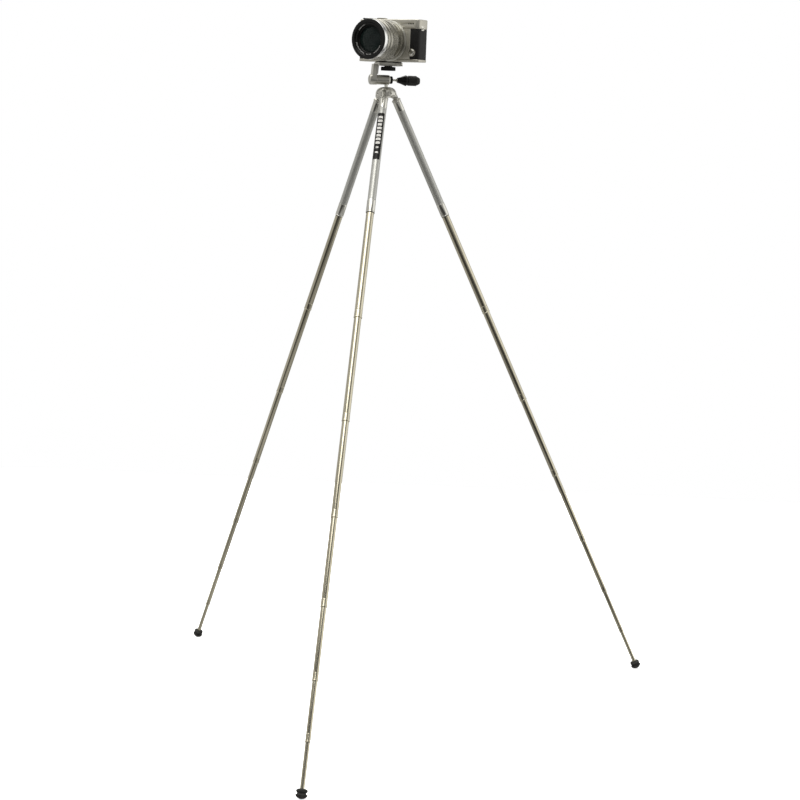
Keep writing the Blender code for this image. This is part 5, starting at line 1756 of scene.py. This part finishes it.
def make_glass():
    """Front element, the groups behind it and the iris."""
    low, high = extent("front_element", LENS)
    wide = high.y
    edge = low.z + 3 * MM
    crown = high.z - edge
    radius = (wide**2 + crown**2) / (2 * crown)
    rise = math.asin(wide / radius)
    dome = [
        (radius * math.sin(angle), high.z - radius * (1 - math.cos(angle)))
        for angle in (rise * step / 16 for step in range(17))
    ]
    profile = [*dome, *offsets(wide, low.z, (0, 0), (-1.6, 0)), (0, low.z + 1.6 * MM)]
    add_piece(
        "front_element_glass", lathe(profile, 96), "glass", "lens_front", LENS, ("front_element",)
    )
    baffles = [(18.2 * MM, low.z - 0.4 * MM)]
    for step in range(4):
        reach = (18.0 - 1.7 * step) * MM
        depth = low.z - (1.2 + 2.0 * step) * MM
        baffles += offsets(reach, depth, (0, 0), (-1.3, -0.15), (-1.3, -0.5))
    end = low.z - 9 * MM
    baffles += [*offsets(0, end, (11.5, 0), (11.5, -1), (19, -1)), (19 * MM, low.z - 0.4 * MM)]
    add_piece("lens_baffles", lathe(baffles, 96, True), "flat_black", "lens_front", LENS)
    inner = [
        (0, end + 2.4 * MM),
        *[
            (
                11.3 * MM * math.sin(step / 10 * 1.2) / math.sin(1.2),
                end + 2.4 * MM * math.cos(step / 10 * 1.2),
            )
            for step in range(1, 11)
        ],
        *offsets(0, end, (11.3, -0.6), (0, -0.6)),
    ]
    add_piece("inner_group_glass", lathe(inner, 72), "inner_glass", "lens_front", LENS)


# ---------------------------------------------------------------- stage
class Room(Look):
    """White where it is seen directly; what metal reflects is lighter above, behind and to one side."""

    def __init__(self):
        world = bpy.data.worlds.new("Studio")
        world.use_nodes = True
        bpy.context.scene.world = world
        self.tree = world.node_tree
        self.tree.nodes.clear()
        coordinates = self.node("ShaderNodeTexCoord", {}, {}).outputs["Generated"]
        inputs = {"Vector": coordinates, "Rotation": (0, 0, ROOM_TURN)}
        turned = self.node("ShaderNodeMapping", {}, inputs).outputs["Vector"]
        split = self.node("ShaderNodeSeparateXYZ", {}, {"Vector": turned})
        side = self.ramp(split.outputs["X"], SIDE_STOPS)
        back = self.ramp(split.outputs["Y"], BACK_STOPS)
        above = self.ramp(split.outputs["Z"], ABOVE_STOPS)
        softbox = self.ramp(split.outputs["Z"], BOX_HEIGHT_STOPS) * self.ramp(
            split.outputs["X"], BOX_WIDTH_STOPS
        )
        wall = self._joined("MAXIMUM", side, back)
        light = self._joined("MAXIMUM", wall, self._joined("MAXIMUM", above, softbox))
        seen = self.node("ShaderNodeBackground", {}, {"Color": (1, 1, 1, 1), "Strength": 1.0})
        inputs = {"Color": (1.0, 0.99, 0.96, 1.0), "Strength": light}
        room = self.node("ShaderNodeBackground", {}, inputs)
        path = self.node("ShaderNodeLightPath", {}, {})
        inputs = {0: path.outputs["Is Camera Ray"], 1: room.outputs[0], 2: seen.outputs[0]}
        mix = self.node("ShaderNodeMixShader", {}, inputs)
        self.node("ShaderNodeOutputWorld", {}, {"Surface": mix.outputs[0]})

    def _joined(self, operation, first, second):
        return self.value("ShaderNodeMath", {"operation": operation}, {0: first, 1: second})

    def ramp(self, socket, stops):
        """Brightness by direction: stops are (from -1 to 1, brightness)."""
        colours = [((place + 1) / 2, (value / ROOM_PEAK,) * 3) for place, value in stops]
        place = Value(self, socket) * 0.5 + 0.5
        made = self.node("ShaderNodeValToRGB", {"stops": colours}, {"Fac": place})
        return Value(self, made.outputs["Color"]) * ROOM_PEAK


ROOM_TURN = math.radians(-12)
ROOM_PEAK = 3.6
SIDE_STOPS = ((-1.0, 0.55), (-0.85, 0.55), (-0.65, 0.05), (0.7, 0.04), (0.88, 1.1), (1.0, 1.1))
BACK_STOPS = ((-1.0, 0.02), (0.6, 0.02), (0.8, 0.7), (1.0, 0.7))
ABOVE_STOPS = (
    (-1.0, 0.6), (-0.76, 0.5), (-0.54, 0.02), (-0.2, 0.04), (0.0, 0.42),
    (0.2, 0.42), (0.36, 0.12), (0.56, 0.12), (0.7, 0.6), (1.0, 0.8),
)
BOX_HEIGHT_STOPS = ((-1.0, 0.0), (0.54, 0.0), (0.68, 3.5), (0.92, 3.5), (1.0, 2.2))
BOX_WIDTH_STOPS = (
    (-1.0, 0.0), (-0.9, 0.25), (-0.45, 0.4), (-0.3, 1.0), (0.05, 1.0), (0.22, 0.3), (0.45, 0.0),
    (1.0, 0.0),
)


def make_stage():
    mesh = slab(plan(FLOOR_SIZE, FLOOR_SIZE, 0.6), [(0, 0), (0, -0.01)])
    floor = bpy.data.objects.new("studio_floor", mesh)
    floor.data.materials.append(finish("paper"))
    floor.data.transform(at(0, 0, FLOOR_HEIGHT))
    bpy.context.scene.collection.objects.link(floor)
    floor.visible_glossy = False
    floor.visible_diffuse = False

    Room()
    scene = bpy.context.scene
    scene.view_settings.view_transform = "Standard"
    for name, place, size, power in LAMPS:
        light = bpy.data.lights.new(name, "AREA")
        light.shape = "RECTANGLE"
        light.size, light.size_y = size
        light.energy = power
        holder = bpy.data.objects.new(name, light)
        holder.visible_glossy = False
        aim = Vector(LAMP_AIM) - Vector(place)
        holder.matrix_world = Matrix.Translation(place) @ aim.to_track_quat(
            "-Z", "Y"
        ).to_matrix().to_4x4()
        bpy.context.scene.collection.objects.link(holder)

    lens = bpy.data.cameras.new("viewpoint")
    lens.sensor_width = 36
    lens.lens = VIEW_LENS
    view = bpy.data.objects.new("viewpoint", lens)
    turn = Matrix.Identity(4)
    for angle, axis in VIEW_TURNS:
        turn = turn @ Matrix.Rotation(math.radians(angle), 4, axis)
    view.matrix_world = at(*VIEW_PLACE) @ turn
    bpy.context.scene.collection.objects.link(view)
    bpy.context.scene.camera = view


FLOOR_SIZE = 4.4
FLOOR_HEIGHT = -0.0006  # just under the feet, so that no two faces share a plane
VIEW_LENS = 62.84
VIEW_PLACE = (0.5217, -2.1774, 0.7651)
VIEW_TURNS = ((12.09, "Z"), (83.8, "X"), (0.604, "Z"))
LAMP_AIM = (0.0, 0.1, 0.6)
LAMPS = (
    ("key", (-1.8, -2.4, 2.6), (1.6, 1.6), 18.0),
    ("fill", (2.6, -1.8, 1.6), (1.4, 2.0), 7.0),
    ("back", (0.6, 2.8, 2.6), (2.4, 1.4), 12.0),
    ("overhead", (0.0, 0.0, 3.6), (3.0, 3.0), 25.0),
)


# ---------------------------------------------------------------- operators
class TRIPOD_CAMERA_OT_hinges(bpy.types.Operator):
    """Tongue, shoulder and rivet at the top of each leg"""

    bl_idname = "tripod_camera.hinges"
    bl_label = "Hinges"

    def execute(self, context):
        for leg in LEGS:
            make_knuckle(leg)
            make_pins(leg)
        return {"FINISHED"}


class TRIPOD_CAMERA_OT_outer_tubes(bpy.types.Operator):
    """Grey tubes with their collars, and the label"""

    bl_idname = "tripod_camera.outer_tubes"
    bl_label = "Outer tubes"

    def execute(self, context):
        sizes = context.scene.tripod_sizes
        for leg in LEGS:
            make_outer_tube(leg, sizes)
        make_label(sizes)
        return {"FINISHED"}


class TRIPOD_CAMERA_OT_sections(bpy.types.Operator):
    """The seven drawn tubes of each leg"""

    bl_idname = "tripod_camera.sections"
    bl_label = "Inner sections"

    def execute(self, context):
        for leg in LEGS:
            for number in SECTIONS:
                make_section(leg, number)
        return {"FINISHED"}


class TRIPOD_CAMERA_OT_feet(bpy.types.Operator):
    """Rubber feet, flat on the floor"""

    bl_idname = "tripod_camera.feet"
    bl_label = "Feet"

    def execute(self, context):
        for leg in LEGS:
            make_foot(leg)
        return {"FINISHED"}


class TRIPOD_CAMERA_OT_crown(bpy.types.Operator):
    """The casting that the legs hinge in"""

    bl_idname = "tripod_camera.crown"
    bl_label = "Crown"

    def execute(self, context):
        make_crown()
        return {"FINISHED"}


class TRIPOD_CAMERA_OT_pan_head(bpy.types.Operator):
    """Post, barrel and friction disc"""

    bl_idname = "tripod_camera.pan_head"
    bl_label = "Pan head"

    def execute(self, context):
        make_pan()
        return {"FINISHED"}


class TRIPOD_CAMERA_OT_bracket(bpy.types.Operator):
    """Bracket, platform and pad"""

    bl_idname = "tripod_camera.bracket"
    bl_label = "Tilt bracket"

    def execute(self, context):
        make_bracket()
        return {"FINISHED"}


class TRIPOD_CAMERA_OT_camera_screw(bpy.types.Operator):
    """Screw and knob"""

    bl_idname = "tripod_camera.camera_screw"
    bl_label = "Camera screw"

    def execute(self, context):
        make_camera_screw(context.scene.tripod_sizes)
        return {"FINISHED"}


class TRIPOD_CAMERA_OT_handle(bpy.types.Operator):
    """Rod and grip"""

    bl_idname = "tripod_camera.handle"
    bl_label = "Handle"

    def execute(self, context):
        make_handle(context.scene.tripod_sizes)
        return {"FINISHED"}


class TRIPOD_CAMERA_OT_body(bpy.types.Operator):
    """Plates, covering, lugs and shoe"""

    bl_idname = "tripod_camera.body"
    bl_label = "Camera body"

    def execute(self, context):
        make_plates()
        make_covering(context.scene.camera_sizes)
        make_lugs()
        make_shoe()
        return {"FINISHED"}


class TRIPOD_CAMERA_OT_controls(bpy.types.Operator):
    """Dials, lever and buttons"""

    bl_idname = "tripod_camera.controls"
    bl_label = "Controls"

    def execute(self, context):
        make_controls(context.scene.camera_sizes)
        return {"FINISHED"}


class TRIPOD_CAMERA_OT_rear(bpy.types.Operator):
    """Screen, wheel and buttons on the back"""

    bl_idname = "tripod_camera.rear"
    bl_label = "Rear"

    def execute(self, context):
        make_rear()
        return {"FINISHED"}


class TRIPOD_CAMERA_OT_lens(bpy.types.Operator):
    """Mount, rings, front ring and glass"""

    bl_idname = "tripod_camera.lens"
    bl_label = "Lens"

    def execute(self, context):
        sizes = context.scene.camera_sizes
        make_mount()
        make_rings(sizes)
        make_front(sizes)
        make_glass()
        return {"FINISHED"}


class TRIPOD_CAMERA_OT_stage(bpy.types.Operator):
    """Floor, light and viewpoint"""

    bl_idname = "tripod_camera.stage"
    bl_label = "Stage"

    def execute(self, context):
        make_stage()
        return {"FINISHED"}


OPERATORS = (
    TRIPOD_CAMERA_OT_hinges,
    TRIPOD_CAMERA_OT_outer_tubes,
    TRIPOD_CAMERA_OT_sections,
    TRIPOD_CAMERA_OT_feet,
    TRIPOD_CAMERA_OT_crown,
    TRIPOD_CAMERA_OT_pan_head,
    TRIPOD_CAMERA_OT_bracket,
    TRIPOD_CAMERA_OT_camera_screw,
    TRIPOD_CAMERA_OT_handle,
    TRIPOD_CAMERA_OT_body,
    TRIPOD_CAMERA_OT_controls,
    TRIPOD_CAMERA_OT_rear,
    TRIPOD_CAMERA_OT_lens,
    TRIPOD_CAMERA_OT_stage,
)


class TRIPOD_CAMERA_PT_panel(bpy.types.Panel):
    """Settings and makers of the camera on its tripod"""

    bl_idname = "TRIPOD_CAMERA_PT_panel"
    bl_label = "Camera on a tripod"
    bl_space_type = "VIEW_3D"
    bl_region_type = "UI"
    bl_category = "Camera"

    def draw(self, context):
        scene = context.scene
        for group in (scene.tripod_sizes, scene.camera_sizes, scene.tripod_finishes):
            box = self.layout.box()
            for name in group.bl_rna.properties.keys():
                if name not in ("rna_type", "name"):
                    box.prop(group, name)
        for maker in OPERATORS:
            self.layout.operator(maker.bl_idname)


CLASSES = (TripodSizes, CameraSizes, TripodFinishes, *OPERATORS, TRIPOD_CAMERA_PT_panel)


def register():
    for item in CLASSES:
        bpy.utils.register_class(item)
    bpy.types.Scene.tripod_sizes = PointerProperty(type=TripodSizes)
    bpy.types.Scene.camera_sizes = PointerProperty(type=CameraSizes)
    bpy.types.Scene.tripod_finishes = PointerProperty(type=TripodFinishes)


def unregister():
    del bpy.types.Scene.tripod_finishes
    del bpy.types.Scene.camera_sizes
    del bpy.types.Scene.tripod_sizes
    for item in reversed(CLASSES):
        bpy.utils.unregister_class(item)


def main():
    register()
    for maker in OPERATORS:
        getattr(bpy.ops.tripod_camera, maker.bl_idname.split(".")[1])()


if __name__ == "__main__":
    main()
